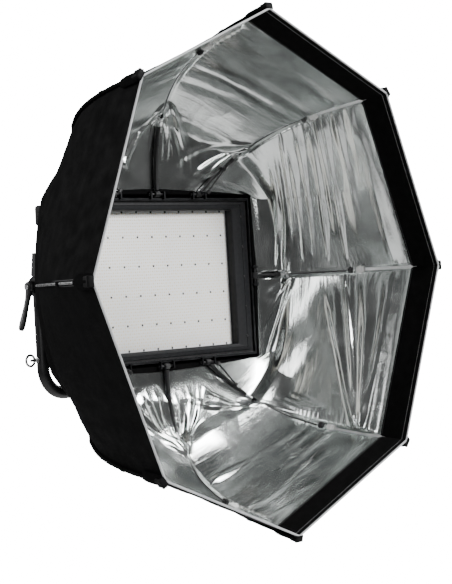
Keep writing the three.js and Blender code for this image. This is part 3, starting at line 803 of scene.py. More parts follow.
def lining_relief(panel, v, t, seed):
    """Height of the lining's folds into the box, in metres. The same seed serves a whole gore."""
    own = np.random.default_rng(seed)
    below = any(rib.name.startswith("bottom") for rib in panel.ribs)
    relief = 0.0085 * soft_noise(v * 0.8, t, 9, 0.6, 1.8, seed)
    relief += 0.0010 * soft_noise(v, t * 1.2, 14, 3, 6, seed + 50)
    if below:
        slack = 0.0095 * soft_noise(v, t * 1.5, 7, 1.2, 2.6, seed + 120)
        relief += slack * smoothstep(t, 0.10, 0.25) * (1 - smoothstep(t, 0.42, 0.60))
    if panel.corner is None:
        relief += fan_folds(v, t, own, 0, 6) + fan_folds(v, t, own, 1, 3)
        relief += crossing_folds(v, t, own, STRAIGHT_FOLDS)
    else:
        relief += crossing_folds(v, t, own, LOWER_FOLDS if below else UPPER_FOLDS)
        if below:
            relief += fan_folds(v, t, own, 0, 3) + rib_folds(v, t, own, 3)
    gathers = np.sin(2 * math.pi * (40 * t + 1.5 * soft_noise(v, t, 6, 1, 4, seed + 80)))
    beside_seam = np.exp(-v / 0.05) + np.exp(-(1 - v) / 0.05)
    relief += 0.0005 * gathers * beside_seam * smoothstep(t, 0.40, 0.60)
    return relief


def open_cloth(v, t, t_hem):
    """1 in the open cloth, falling to 0 at the seams, at the frame and at the hem."""
    mask = smoothstep(v, 0.0, 0.03) * (1 - smoothstep(v, 0.97, 1.0))
    mask *= smoothstep(t, 0.05, 0.13)
    return mask * (1 - smoothstep(t, t_hem - 0.05, t_hem - 0.005))


def hem_start(panel, u):
    """t of the hem's inner edge, the same distance from the rim on both ribs."""
    first, second = (rib.t_from_rim(HEM_DEPTH) for rib in panel.ribs)
    return first + panel.across(u) * (second - first)


def shade_band_edge(panel, u):
    """t of the outer edge of the black band painted as shade at the lining's base, the same distance from the
    frame on both ribs.
    """
    first, second = (rib.t_from_root(SHADE_BAND_DEPTH) for rib in panel.ribs)
    return first + panel.across(u) * (second - first)


def panel_grid(columns, rows, low=0.0, high=1.0):
    t = np.linspace(low, high, rows)
    u = np.linspace(0, 1, columns)
    return np.meshgrid(u, t)


def cloth_size(points):
    """(width at the rim, length along the middle, area) of a grid of cloth."""
    width = float(np.linalg.norm(np.diff(points[-1], axis=0), axis=1).sum())
    middle = points[:, points.shape[1] // 2]
    length = float(np.linalg.norm(np.diff(middle, axis=0), axis=1).sum())
    across = np.diff(points, axis=1)[:-1]
    along = np.diff(points, axis=0)[:, :-1]
    area = float(np.linalg.norm(np.cross(across, along), axis=-1).sum())
    return width, length, area


def weave_map(u, t, size):
    return np.stack([u * size[0], t * size[1]], axis=-1)


def make_cover(panel, seed):
    """The black outer cloth, with soft slackness."""
    u, t = panel_grid(41, 91)
    v = panel.across(u)
    smooth = stretched_cloth(panel, u, t, COVER_BEHIND, COVER_INSIDE)
    relief = 0.0032 * soft_noise(v * 1.6, t * 0.7, 8, 1, 3, seed + 300)
    relief += 0.0010 * soft_noise(v * 3, t, 8, 3, 6, seed + 350)
    mask = smoothstep(v, 0, 0.06) * (1 - smoothstep(v, 0.94, 1.0))
    mask *= smoothstep(t, 0.20, 0.45) * (1 - smoothstep(t, 0.90, 1.0))
    points = smooth - inward_normals(smooth) * (np.abs(relief) * mask)[..., None]
    size = cloth_size(smooth)
    piece = grid_object(f"cover_{panel.name}", points, weave_map(u, t, size), COVER)
    carry(piece)
    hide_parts(panel.node)
    return piece, size


def make_lining(panel, seed):
    """The silver cloth inside the cover, with its creases."""
    u, t = panel_grid(81 if panel.corner is not None else 151, 211)
    v = panel.across(u)
    smooth = stretched_cloth(panel, u, t, LINING_BEHIND, LINING_INSIDE)
    relief = lining_relief(panel, v, t, seed) + 0.0035
    height = np.maximum(relief, -0.0004) * open_cloth(v, t, hem_start(panel, u))
    points = smooth + inward_normals(smooth) * height[..., None]
    size = cloth_size(smooth)
    piece = grid_object(f"lining_{panel.name}", points, weave_map(u, t, size), LINING)
    return carry(piece), size


def make_band(panel, name, low, high, lift, rows):
    """A strip of black tape on the lining between two lines across the panel: the hem at the rim, or the band
    at the frame that is painted shade.
    """
    u, s = panel_grid(33, rows)
    t = low(u) + s * (high(u) - low(u))
    smooth = stretched_cloth(panel, u, t, LINING_BEHIND + lift, LINING_INSIDE + lift)
    thick = 0.0012 * np.sin(np.pi * np.clip(s * 6, 0, 0.5)) * np.sin(np.pi * np.clip((1 - s) * 6, 0, 0.5))
    points = smooth + inward_normals(smooth) * thick[..., None]
    size = cloth_size(smooth)
    piece = grid_object(f"{name}_{panel.name}", points, weave_map(u, s, size), HEM)
    return carry(piece)


def stitch_row(panel, name, line, lift, material, spacing=0.006):
    """A run of small stitches across the panel, along t = line(u)."""
    u = np.linspace(0.0, 1.0, 400)
    t = line(u)
    path = stretched_cloth(panel, u, t, LINING_BEHIND + lift, LINING_INSIDE + lift)
    walked = walked_along(path)
    count = max(4, int(walked[-1] / spacing))
    inward = BOX_MIDDLE - path[200]
    inward /= np.linalg.norm(inward)
    vertices, faces = [], []
    for k in range(count):
        a, b = ((k + 0.15) * walked[-1] / count, (k + 0.85) * walked[-1] / count)
        ends = [np.array([np.interp(x, walked, path[:, i]) for i in range(3)]) for x in (a, b)]
        along = (ends[1] - ends[0]) / np.linalg.norm(ends[1] - ends[0])
        side = np.cross(along, inward) * 0.0006
        base = len(vertices)
        vertices += [ends[0] - side, ends[0] + side, ends[1] + side, ends[1] - side,
                     (ends[0] + ends[1]) / 2 + inward * 0.0007]
        faces += [(base, base + 1, base + 4), (base + 1, base + 2, base + 4),
                  (base + 2, base + 3, base + 4), (base + 3, base, base + 4)]
    piece = new_object(f"{name}_{panel.name}", vertices, faces, material)
    return carry(piece)


def rim_piping(panel):
    """Grey binding along the rim edge of the panel."""
    u = np.linspace(0, 1, 25)
    t = np.ones_like(u)
    outside = stretched_cloth(panel, u, t, COVER_BEHIND, COVER_INSIDE)
    middle = (outside + stretched_cloth(panel, u, t, LINING_BEHIND, LINING_INSIDE)) / 2
    forward = np.array([0, -0.0012, 0])
    piece = swept(f"piping_{panel.name}", middle + forward, ring_section(0.0023, 10), PIPING)
    return carry(piece)


def make_panel(panel, seed):
    cover, cover_size = make_cover(panel, seed)
    lining, lining_size = make_lining(panel, seed)
    hem = make_band(panel, "hem", lambda u: hem_start(panel, u), lambda u: np.ones_like(u), 0.0012, 13)
    # The black band at the frame is painted shade: there the lining only shows dark reflection and shadow.
    base = make_band(panel, "base_band", lambda u: 0 * u, lambda u: shade_band_edge(panel, u), 0.0012, 9)
    stitches = stitch_row(panel, "hem_stitches", lambda u: hem_start(panel, u) + 0.006, 0.0028, THREAD_BLACK)
    rim_stitches = stitch_row(panel, "rim_stitches", lambda u: 0.988 + 0 * u, 0.0028, THREAD_GREY)
    piping = rim_piping(panel)
    held_by = [f"rib_rod_{rib.name}" for rib in panel.ribs]
    return {"cover": cover, "cover_size": cover_size, "lining": lining, "lining_size": lining_size,
            "held_by": held_by, "on_cover": [piping], "on_lining": [hem, base, stitches, rim_stitches]}


gores = [*straight_panels(), *corner_panels()]
panels = [make_panel(panel, 40 + sum(map(ord, panel.ribs[0].name + panel.ribs[1].name))) for panel in gores]


# ---- Rib hardware --------------------------------------------------------------------------------
def rib_box(name, rib, t, centre_out, half, radius, material):
    """A rounded block on the rib: half sizes are (along the rib, across, into the box)."""
    block = rounded_box(name, [-h for h in half], list(half), radius, material)
    rate = rib.profile(t)[1]
    along = rib.outward * rate[0] + FORWARD * rate[1]
    along /= np.linalg.norm(along)
    inward = rib.inward(t)
    side = np.cross(inward, along)
    turn = Matrix((Vector(along), Vector(side), Vector(inward))).transposed().to_4x4()
    centre = rib.point(t) + inward * centre_out
    block.data.transform(Matrix.Translation(Vector(centre)) @ turn)
    return block


def rib_rod(rib):
    start = ARM_SPAN - 0.02
    t = np.linspace(start, 1.0, 46)
    rod = swept(f"rod_{rib.name}", rib.point(t), ring_section(0.0030, 16), ROD)
    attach(rod, rib.body)
    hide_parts(f"rib_rod_{rib.name}")


def rib_arm(rib):
    """The black arm: a barrel on the pin, a tapering bar and a ferrule that takes the rod."""
    t = np.linspace(0.012, ARM_SPAN, 16)
    scales = list(np.interp(t, [0.012, 0.05, ARM_SPAN], [1.06, 0.95, 0.80]))
    bar = swept(f"arm_{rib.name}", rib.point(t), round_rectangle(0.00425, 0.005, 0.0018, 3), ARM,
                ups=[rib.inward(x) for x in t], scales=scales)
    barrel = lathe("barrel", [(0.0062, -0.0085), (0.0075, -0.0072), (0.0075, 0.0072), (0.0062, 0.0085)],
                   ARM, rib.root, rib.hinge, 28)
    pin = lathe("pin", [(0.0020, -0.0262), (0.0025, -0.0255), (0.0025, 0.0255), (0.0020, 0.0262)],
                LATCH, rib.root, rib.hinge, 16)
    tip, before = rib.point(ARM_SPAN + 0.012), rib.point(ARM_SPAN - 0.035)
    ferrule_axis = tip - before
    length = float(np.linalg.norm(ferrule_axis))
    ferrule = lathe("ferrule", [(0.0046, 0), (0.0054, 0.001), (0.0054, 0.004), (0.0048, 0.005),
                                (0.0048, length - 0.006), (0.0053, length - 0.005),
                                (0.0053, length - 0.001), (0.0044, length), (0.0032, length)],
                    ARM, before, ferrule_axis, 24)
    screw_at = rib.point(0.16) + rib.inward(0.16) * 0.0048
    screw = screw_head("screw", screw_at, rib.inward(0.16), 0.0026, LATCH)
    arm = joined(f"arm_{rib.name}", [bar, barrel, pin, ferrule, screw])
    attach(arm, rib.body)
    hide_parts(f"rib_arm_{rib.name}")


def rib_brace(rib):
    """The thin stay in front of a slanting arm, with an eye at each end."""
    foot = rib.root + 0.008 * rib.outward + 0.030 * FORWARD
    head = rib.root + 0.100 * rib.outward + 0.019 * FORWARD
    stay = swept("stay", [foot, foot + (head - foot) * 0.5, head], ring_section(0.0024, 12), ARM)
    eyes = [lathe("eye", [(0.0030, -0.0045), (0.0048, -0.0038), (0.0048, 0.0038), (0.0030, 0.0045)],
                  ARM, place, rib.across, 20) for place in (foot, head)]
    struts = [swept("strut", [rib.root + 0.008 * rib.outward + 0.006 * FORWARD, foot],
                    ring_section(0.0020, 10), LATCH),
              swept("strut", [rib.root + 0.104 * rib.outward + 0.005 * FORWARD, head],
                    ring_section(0.0020, 10), LATCH)]
    brace = joined(f"brace_{rib.name}", [stay, *eyes, *struts])
    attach(brace, rib.body)
    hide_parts(f"rib_brace_{rib.name}")


def rib_trim(rib):
    """The black cord knob and white clip inside the box, with the seam cord below them and the
    sleeve above them."""
    knob_t = rib.t_from_rim(0.232)
    clip_t = rib.t_from_rim(0.205)
    lining = LINING_INSIDE
    knob = rib_box("knob", rib, knob_t, lining + 0.004, (0.0060, 0.0050, 0.0045), 0.0020, CONTROL_PLASTIC)
    ear = rib_box("knob_ear", rib, knob_t, lining + 0.003, (0.0028, 0.0090, 0.0026), 0.0012,
                  CONTROL_PLASTIC)
    knob = joined(f"cord_knob_{rib.name}", [knob, ear])
    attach(knob, rib.body)
    clip = rib_box("clip", rib, clip_t, lining + 0.0040, (0.0105, 0.0085, 0.0036), 0.0020, CLIP_WHITE)
    bar = rib_box("clip_bar", rib, clip_t, lining + 0.0070, (0.0030, 0.0110, 0.0024), 0.0014, CLIP_WHITE)
    clip = joined(f"clip_{rib.name}", [clip, bar])
    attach(clip, rib.body)
    seam_cord(rib, knob_t)
    rod_sleeve(rib, clip_t)


def seam_cord(rib, end_t):
    """The dark thread of the seam, from the arm to the knob."""
    t = np.linspace(ARM_SPAN + 0.06, end_t, 40)
    depth = inset(t, LINING_BEHIND, LINING_INSIDE) + 0.0008
    cord = swept(f"seam_cord_{rib.name}", rib.point(t, depth), ring_section(0.0011, 8), THREAD_BLACK)
    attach(cord, rib.body)


def rod_sleeve(rib, start_t):
    """The sewn sleeve over the rod, from the clip to the hem, edged with dark thread."""
    t = np.linspace(start_t, rib.t_from_rim(HEM_DEPTH) + 0.02, 40)
    depth = inset(t, LINING_BEHIND, LINING_INSIDE) + 0.0004
    section = [(-0.0056, 0), (-0.0046, 0.0014), (-0.002, 0.0022), (0.002, 0.0022), (0.0046, 0.0014),
               (0.0056, 0), (0.003, -0.0004), (-0.003, -0.0004)]
    ups = [rib.inward(x) for x in t]
    sleeve = swept(f"rod_sleeve_{rib.name}", rib.point(t, depth), section, TAPE, ups=ups)
    across = np.tile([a for a, _ in section], len(t))
    along = np.repeat(np.linspace(0, 0.2, len(t)), len(section))
    set_weave(sleeve, np.stack([across, along], axis=1))
    parts = [sleeve]
    for sign in (-1, 1):
        edge = rib.point(t, depth + 0.0005) + sign * 0.0060 * rib.across
        parts.append(swept("edge", edge, ring_section(0.0009, 8), THREAD_BLACK))
    sleeve = joined(f"rod_sleeve_{rib.name}", parts)
    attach(sleeve, rib.body)


def rib_pocket(rib):
    """The sewn pocket that holds the rod's end, outside the cover, with a plastic cap on the corner."""
    low = rib.t_from_rim(0.066)
    t = np.linspace(low, 0.998, 26)
    swell = [0.80 + 0.20 * math.sin(math.pi * min(1.0, k / 8) / 2) for k in range(26)]
    section = [(-0.0170, 0.0010), (-0.0165, -0.0020), (-0.0120, -0.0050), (-0.0070, -0.0090),
               (-0.0030, -0.0108), (0.0, -0.0112), (0.0030, -0.0108), (0.0070, -0.0090),
               (0.0120, -0.0050), (0.0165, -0.0020), (0.0170, 0.0010), (0.0, 0.0016)]
    centre = rib.point(t, np.full(26, 0.0030))
    pocket = swept(f"pocket_{rib.name}", centre, section, HEM, ups=[rib.inward(x) for x in t], scales=swell)
    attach(pocket, rib.body)
    cap = rib_box("cap", rib, 0.992, -0.0004, (0.0110, 0.0112, 0.0074), 0.0026, CAP_PLASTIC)
    lip = rib_box("lip", rib, 1.0, -0.0004, (0.0036, 0.0120, 0.0082), 0.0018, CAP_PLASTIC)
    cap = joined(f"corner_cap_{rib.name}", [cap, lip])
    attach(cap, rib.body)


def outer_loops(rib):
    """Small black loops outside that hold the rod on the cover."""
    loops = []
    for distance in (0.150, 0.330):
        t = rib.t_from_rim(distance)
        loops.append(rib_box("loop", rib, t, -0.0005, (0.0075, 0.0045, 0.0040), 0.0022, HEM))
    made = joined(f"rod_loops_{rib.name}", loops)
    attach(made, rib.body)


def outer_sleeve(rib):
    """The black sleeve sewn to the cover that hides a rod of the upper or lower ribs."""
    t = np.linspace(ARM_SPAN + 0.05, rib.t_from_rim(0.060), 44)
    swell = [1.0 + 0.05 * math.sin(1.9 * k) * math.sin(0.6 * k) for k in range(44)]
    centre = rib.point(t, np.full(44, 0.0004))
    sleeve = swept(f"outer_sleeve_{rib.name}", centre, ring_section(0.0044, 14), COVER,
                   ups=[rib.inward(x) for x in t], scales=swell)
    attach(sleeve, rib.body)


for rib in RIBS:
    if rib.hinge[0]:
        outer_sleeve(rib)
    rib_rod(rib)
    rib_arm(rib)
    rib_trim(rib)
    rib_pocket(rib)
    outer_loops(rib)
    if rib.hinge[0] and rib.name not in ("top", "bottom"):
        rib_brace(rib)


# ---- Collar, frame and lamp ----------------------------------------------------------------------
def cloth_collar():
    """An elastic band from the frame's outside to the cloth, closing the gap at the hinges."""
    steps = [(-0.0006, 0.004, 0.034), (-0.0020, 0.005, 0.030), (-0.0030, 0.006, 0.022),
             (-0.0080, 0.010, 0.0125), (-0.0170, 0.016, 0.0110), (-0.0170, 0.016, 0.0098),
             (-0.0075, 0.010, 0.0110), (-0.0018, 0.006, 0.0210)]
    rings = stepped(FRAME_HALF, steps, ROOT_Y)
    collar = plate_rings("cloth_collar", rings, HEM, (0, AXIS_Z), loop=True, steps=6)
    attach(collar, "head")


def frame_edge():
    """The bright rear edge of the adapter frame, a hair proud of it."""
    steps = [(-0.0003, 0.002, -0.0030), (-0.0004, 0.002, -0.0004), (0.0004, 0.002, 0.0004),
             (FRAME_WALL - 0.0004, 0.001, 0.0004), (FRAME_WALL + 0.0003, 0.001, -0.0004),
             (FRAME_WALL + 0.0003, 0.001, -0.0030)]
    rings = stepped(FRAME_HALF, steps, ROOT_Y + 0.044)
    edge = plate_rings("frame_edge", rings, FRAME_EDGE, (0, AXIS_Z), loop=True, steps=3)
    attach(edge, "head")


def gap_gasket():
    """A black ring in the gap between the lamp and the adapter frame: painted shade where that gap lies in
    shadow.
    """
    # Painted shade: the dark rubber fill shows the shadow in the gap.
    gap, front, rear = 0.0056, 0.006, 0.018
    steps = [(0, 0.003, rear), (0, 0.003, front), (gap, 0.003, front), (gap, 0.003, rear)]
    rings = stepped((0.3252, 0.1912), steps, ROOT_Y)
    gasket = plate_rings("gap_gasket", rings, RUBBER, (0, AXIS_Z), loop=True, steps=4)
    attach(gasket, "head")


def lamp_bezel():
    low, high = (np.array(v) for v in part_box("lamp_bezel"))
    w, h = high[0], high[2] - AXIS_Z
    iw, ih = WINDOW_HALF
    front, rear = low[1], high[1]
    rings = [(w, h, 0.006, rear), (w, h, 0.006, front + 0.004),
             (w - 0.0012, h - 0.0012, 0.006, front + 0.0012),
             (w - 0.004, h - 0.004, 0.005, front), (w - 0.018, h - 0.006, 0.004, front),
             (w - 0.0188, h - 0.0068, 0.004, front + 0.0014), (w - 0.0206, h - 0.0086, 0.003, front + 0.0014),
             (w - 0.0214, h - 0.0094, 0.003, front),
             (iw + 0.003, ih + 0.003, 0.003, front), (iw + 0.001, ih + 0.001, 0.003, front + 0.0012),
             (iw, ih, 0.003, front + 0.0040), (iw, ih, 0.003, rear)]
    bezel = plate_rings("bezel", rings, LAMP_PLASTIC, (0, AXIS_Z), loop=True, steps=5)
    parts = [bezel]
    for x in (-0.300, 0.300):
        for z in (-0.150, -0.075, 0.0, 0.075, 0.150):
            parts.append(screw_head("bezel_screw", (x, front, AXIS_Z + z), (0, -1, 0), 0.0028, LATCH))
    bezel = joined("bezel", parts)
    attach(bezel, "head")
    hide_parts("lamp_bezel")


def led_emitters(front):
    """The grid of small warm and cool emitters on the board."""
    pitch = 0.0073
    half = 0.0016
    depth = 0.0008
    columns = int(2 * (WINDOW_HALF[0] - half) / pitch)
    rows = int(2 * (WINDOW_HALF[1] - half) / pitch)
    xs = (np.arange(columns) - (columns - 1) / 2) * pitch
    zs = (np.arange(rows) - (rows - 1) / 2) * pitch + AXIS_Z
    corners = np.array([(-1, 0, -1), (1, 0, -1), (1, 0, 1), (-1, 0, 1),
                        (-0.72, -1, -0.72), (0.72, -1, -0.72), (0.72, -1, 0.72), (-0.72, -1, 0.72)])
    corners = corners * np.array([half, depth, half])
    sides = [(0, 1, 5, 4), (1, 2, 6, 5), (2, 3, 7, 6), (3, 0, 4, 7), (4, 5, 6, 7)]
    vertices, faces, kinds = [], [], []
    for i, x in enumerate(xs):
        for k, z in enumerate(zs):
            base = len(vertices)
            vertices += list(corners + np.array([x, front, z]))
            faces += [tuple(base + n for n in side) for side in sides]
            kinds += [(i + k) % 2] * len(sides)
    made = new_object("led_emitters", vertices, faces, WARM, smooth=False)
    made.data.materials.append(COOL)
    made.data.polygons.foreach_set("material_index", kinds)
    return made


def led_board():
    low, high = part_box("led_board")
    front = low[1]
    steps = [(0, 0.003, high[1]), (0, 0.003, front + 0.0005), (0.0005, 0.003, front)]
    rings = stepped((WINDOW_HALF[0], high[2] - AXIS_Z), steps)
    board = plate_rings("board", rings, BOARD, (0, AXIS_Z))
    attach(board, "head")
    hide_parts("led_board")
    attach(led_emitters(front), "head")
    screws = []
    for i in range(11):
        for k in range(6):
            x = 0.0490 * (i - 5)
            z = AXIS_Z + 0.070 * (k - 2.5) * (0.94 if k in (0, 5) else 1)
            screws.append(screw_head("board_screw", (x, front, z), (0, -1, 0), 0.0026, LATCH))
    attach(joined("board_screws", screws), "head")


def lamp_shell():
    low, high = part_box("lamp_housing")
    front, rear = low[1], high[1]
    steps = [(0.008, 0.003, rear - 0.0037), (0.008, 0.003, front), (0.001, 0.006, front),
             (0, 0.007, front + 0.001), (0, 0.007, rear - 0.012), (0.0012, 0.007, rear - 0.0112),
             (0.0012, 0.007, rear - 0.0096), (0, 0.007, rear - 0.0088), (0, 0.007, rear - 0.004),
             (0.0015, 0.007, rear - 0.001), (0.004, 0.006, rear)]
    rings = stepped((high[0], high[2] - AXIS_Z), steps)
    shell = plate_rings("lamp_shell", rings, LAMP_PAINT, (0, AXIS_Z), steps=6)
    parts = [shell]
    for x in (-0.285, -0.24, 0.24, 0.285):
        for z in (-0.16, -0.13, 0.13, 0.16):
            if abs(x) < 0.25 or abs(z) < 0.14:
                parts.append(screw_head("shell_screw", (x, rear, AXIS_Z + z), (0, 1, 0), 0.0030))
    shell = joined("lamp_shell", parts)
    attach(shell, "head")
    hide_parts("lamp_housing")


def control_box():
    low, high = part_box("control_box")
    w, h = seen_along_y(low, high)[1]
    front, rear = low[1], high[1]
    steps = [(0, 0.014, front), (0, 0.014, front + 0.020), (0.0015, 0.013, front + 0.0208),
             (0.0015, 0.013, front + 0.0224), (0, 0.014, front + 0.0232), (0, 0.014, rear - 0.006),
             (0.0012, 0.014, rear - 0.003), (0.0045, 0.013, rear - 0.0006), (0.008, 0.012, rear)]
    box = plate_rings("control_case", stepped((w, h), steps), LAMP_PLASTIC, (0, AXIS_Z), steps=8)
    parts = [box]
    for x in (-1, 1):
        for z in (-1, 1):
            place = (x * (w - 0.018), rear, AXIS_Z + z * (h - 0.018))
            parts.append(screw_head("case_screw", place, (0, 1, 0), 0.0032))
    for k in range(9):
        z = AXIS_Z - 0.055 + 0.0065 * k
        low, high = (0.030, rear - 0.001, z), (0.110, rear + 0.0005, z + 0.0028)
        parts.append(rounded_box("vent", low, high, 0.0004, LATCH))
    box = joined("control_case", parts)
    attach(box, "head")
    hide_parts("control_box")


def control_panel():
    low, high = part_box("display_window")
    centre, half = seen_along_y(low, high)
    y0, y1 = low[1], high[1]
    border = 0.0052
    steps = [(0, 0.004, y0), (0, 0.004, y1 - 0.0004), (0.0006, 0.004, y1), (0.0045, 0.003, y1),
             (border, 0.003, y1 - 0.0010), (border, 0.003, y0)]
    bezel = plate_rings("display_bezel", stepped(half, steps), CONTROL_PLASTIC, centre, loop=True)
    steps = [(border, 0.003, y0), (border, 0.003, y1 - 0.0012), (border + 0.0008, 0.003, y1 - 0.0009)]
    glass = plate_rings("display_glass", stepped(half, steps), SCREEN, centre)
    display = joined("display", [bezel, glass])
    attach(display, "head")
    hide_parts("display_window")
    low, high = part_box("power_inlet")
    (cx, cz), half = seen_along_y(low, high)
    y0, y1 = low[1], high[1]
    rings = stepped(half, [(0, 0.003, y0), (0, 0.003, y1 - 0.001), (0.001, 0.003, y1)])
    rings += [(0.0158, 0.0108, 0.003, y1), (0.015, 0.010, 0.003, y1 - 0.0010),
              (0.0148, 0.0098, 0.003, y0 + 0.003)]
    inlet = plate_rings("inlet", rings, CONTROL_PLASTIC, (cx, cz))
    pins = []
    for dx, dz in ((-0.007, 0.0), (0.0, 0.002), (0.007, 0.0)):
        low = (cx + dx - 0.0012, y0 + 0.002, cz - 0.003 + dz)
        high = (cx + dx + 0.0012, y1 - 0.0015, cz + 0.003 + dz)
        pins.append(rounded_box("pin", low, high, 0.0005, STEEL))
    screws = [screw_head("inlet_screw", (cx + dx, y1, cz), (0, 1, 0), 0.0022) for dx in (-0.0200, 0.0200)]
    inlet = joined("inlet", [inlet, *pins, *screws])
    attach(inlet, "head")
    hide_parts("power_inlet")


def dimmer_knob():
    low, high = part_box("dimmer_knob")
    (cx, cz), _ = seen_along_y(low, high)
    y0, y1 = low[1], high[1]
    rows = [(0.0130, 0, 0), (0.0130, 0.0024, 0), (0.0122, 0.0034, 0), (0.0116, 0.0042, 1),
            (0.0112, 0.0145, 1), (0.0104, 0.0162, 0), (0.0086, y1 - y0, 0), (0.0060, y1 - y0 - 0.0003, 0)]
    knob = fluted("knob", rows, 96, 24, 0.035, lambda a, b, height: (cx + a, y0 + height, cz + b), False)
    low, high = (cx - 0.0006, y1 - 0.0006, cz + 0.003), (cx + 0.0006, y1 + 0.0001, cz + 0.0085)
    mark = rounded_box("mark", low, high, 0.0002, CLIP_WHITE)
    knob = joined("knob", [knob, mark])
    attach(knob, "dimmer_knob")
    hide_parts("dimmer_knob")


def corner_bumpers():
    for vertical in ("top", "bottom"):
        for side, sign in (("right", 1), ("left", -1)):
            low, high = (Vector(v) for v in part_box(f"corner_bumper_{vertical}_{side}"))
            parts = [rounded_box("bumper", low, high, 0.0075, RUBBER, 5)]
            middle = (low + high) / 2
            x = high.x if sign > 0 else low.x
            for k in range(3):
                z = middle.z + (k - 1) * 0.010
                start, end = (x - 0.0016, low.y + 0.008, z - 0.0018), (x + 0.0009, high.y - 0.008, z + 0.0018)
                parts.append(rounded_box("grip", start, end, 0.0008, RUBBER))
            place = (middle.x, high.y - 0.0003, middle.z)
            parts.append(screw_head("bumper_screw", place, (0, 1, 0), 0.0032))
            made = joined(f"bumper_{vertical}_{side}", parts)
            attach(made, "head")
            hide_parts(f"corner_bumper_{vertical}_{side}")


def paint_node(name, material):
    node = bpy.data.objects[name]
    for slot in node.material_slots:
        slot.material = material


# ---- Brackets, yoke and its fittings -------------------------------------------------------------
def bracket_fasteners():
    """Screws in the feet of the two side brackets, and on the frame's latches."""
    parts = []
    for sign in (-1, 1):
        for z in (0.038, 0.064):
            place = (sign * 0.308, 0.0233, AXIS_Z + z)
            parts.append(screw_head("bracket_screw", place, (0, 1, 0), 0.0042))
        for up in (-1, 1):
            place = (sign * 0.200, 0.0173, AXIS_Z + up * 0.174)
            parts.append(screw_head("latch_screw", place, (0, 1, 0), 0.0040))
    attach(joined("bracket_screws", parts), "head")


def yoke_path():
    """The yoke's centre line, from the left hub round under the lamp to the right one."""
    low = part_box("yoke_tube")[0]
    half, bottom, bend = YOKE_HALF, low[2] + 0.014, 0.060
    hub = AXIS_Z - 0.008
    corner = bottom + bend
    points = [(-half, 0, hub + k / 10 * (corner - hub)) for k in range(10)]
    turns = [math.pi / 2 * k / 12 for k in range(13)]
    points += [(-half + bend - bend * math.cos(a), 0, corner - bend * math.sin(a)) for a in turns]
    points += [(x, 0, bottom) for x in np.linspace(-half + bend, half - bend, 14)[1:-1]]
    points += [(half - bend + bend * math.sin(a), 0, corner - bend * math.cos(a)) for a in turns]
    points += [(half, 0, corner + k / 10 * (hub - corner)) for k in range(1, 11)]
    return points


def yoke():
    path = yoke_path()
    tube = swept("yoke", path, ring_section(0.014, 32), YOKE_PAINT, ups=[(0, 1, 0)] * len(path))
    parts = [tube]
    for sign in (-1, 1):
        inner, outer = 0.3456, 0.3774
        profile = [(0.0067, inner), (0.0200, inner), (0.0220, inner + 0.002), (0.0220, outer - 0.002),
                   (0.0204, outer), (0.0130, outer), (0.0125, outer - 0.0012), (0.0067, outer - 0.0012),
                   (0.0067, inner)]
        parts.append(lathe("hub", profile, YOKE_PAINT, (0, 0, AXIS_Z), (sign, 0, 0), 48))
    made = joined("yoke", parts)
    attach(made, "yoke")
    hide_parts("yoke_tube")


def pivot_studs():
    for side, sign, end in (("right", 1, 0.395), ("left", -1, 0.400)):
        disc, stud = 0.020, 0.006
        profile = [(0.002, 0.3423), (disc - 0.0006, 0.3423), (disc, 0.3427), (disc, 0.3449),
                   (disc - 0.0006, 0.3453), (stud, 0.3453), (stud, end - 0.0015),
                   (stud - 0.0015, end), (0.002, end)]
        made = lathe(f"stud_{side}", profile, STEEL, (0, 0, AXIS_Z), (sign, 0, 0), 32)
        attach(made, "head")
        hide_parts(f"pivot_stud_{side}")


def tilt_lever():
    """A ratchet lever: a round boss, a waisted arm and a thumb grip."""
    inner = HUB_FACE
    profile = [(0.0067, inner), (0.0122, inner), (0.0130, inner + 0.001), (0.0130, inner + 0.012),
               (0.0122, inner + 0.0140), (0.0110, inner + 0.0150), (0.0110, inner + 0.0175),
               (0.0104, inner + 0.018),
               (0.0067, inner + 0.018), (0.0067, inner)]
    boss = lathe("boss", profile, CONTROL_PLASTIC, (0, 0, AXIS_Z), (-1, 0, 0), 48)
    out, tilt, lean, reach = inner + 0.010, math.radians(10), math.radians(8), 0.092
    direction = Vector((-math.sin(tilt), math.sin(lean), -math.cos(tilt))).normalized()
    start = Vector((-out, 0, AXIS_Z)) + direction * 0.006
    distances = [0, 0.010, 0.022, 0.040, 0.060, 0.078, 0.090, 0.0945]
    widths = [1.15, 1.0, 0.82, 0.80, 0.92, 1.02, 0.92, 0.55]
    section = round_rectangle(0.0078, 0.0062, 0.0050, 5)
    fine = np.linspace(0, distances[-1], 26)
    grown = [float(np.interp(d, distances, widths)) for d in fine]
    points = [start + direction * float(d) + Vector((-0.004 * (d / reach) ** 2, 0, 0)) for d in fine]
    handle = swept("handle", points, section, CONTROL_PLASTIC, ups=[(1, 0, 0)] * len(points), scales=grown)
    made = joined("lever", [boss, handle])
    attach(made, "tilt_lever")
    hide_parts("tilt_lever")


def tilt_nut():
    inner = HUB_FACE
    rows = [(0.0067, inner, 0), (0.0160, inner, 0), (0.0170, inner + 0.001, 1), (0.0170, inner + 0.004, 1),
            (0.0150, inner + 0.006, 0), (0.0132, inner + 0.0130, 0), (0.0118, inner + 0.014, 0),
            (0.0067, inner + 0.014, 0)]
    made = fluted("nut", rows, 72, 12, 0.05, lambda a, b, height: (height, a, AXIS_Z + b), True)
    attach(made, "yoke")
    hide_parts("tilt_nut")


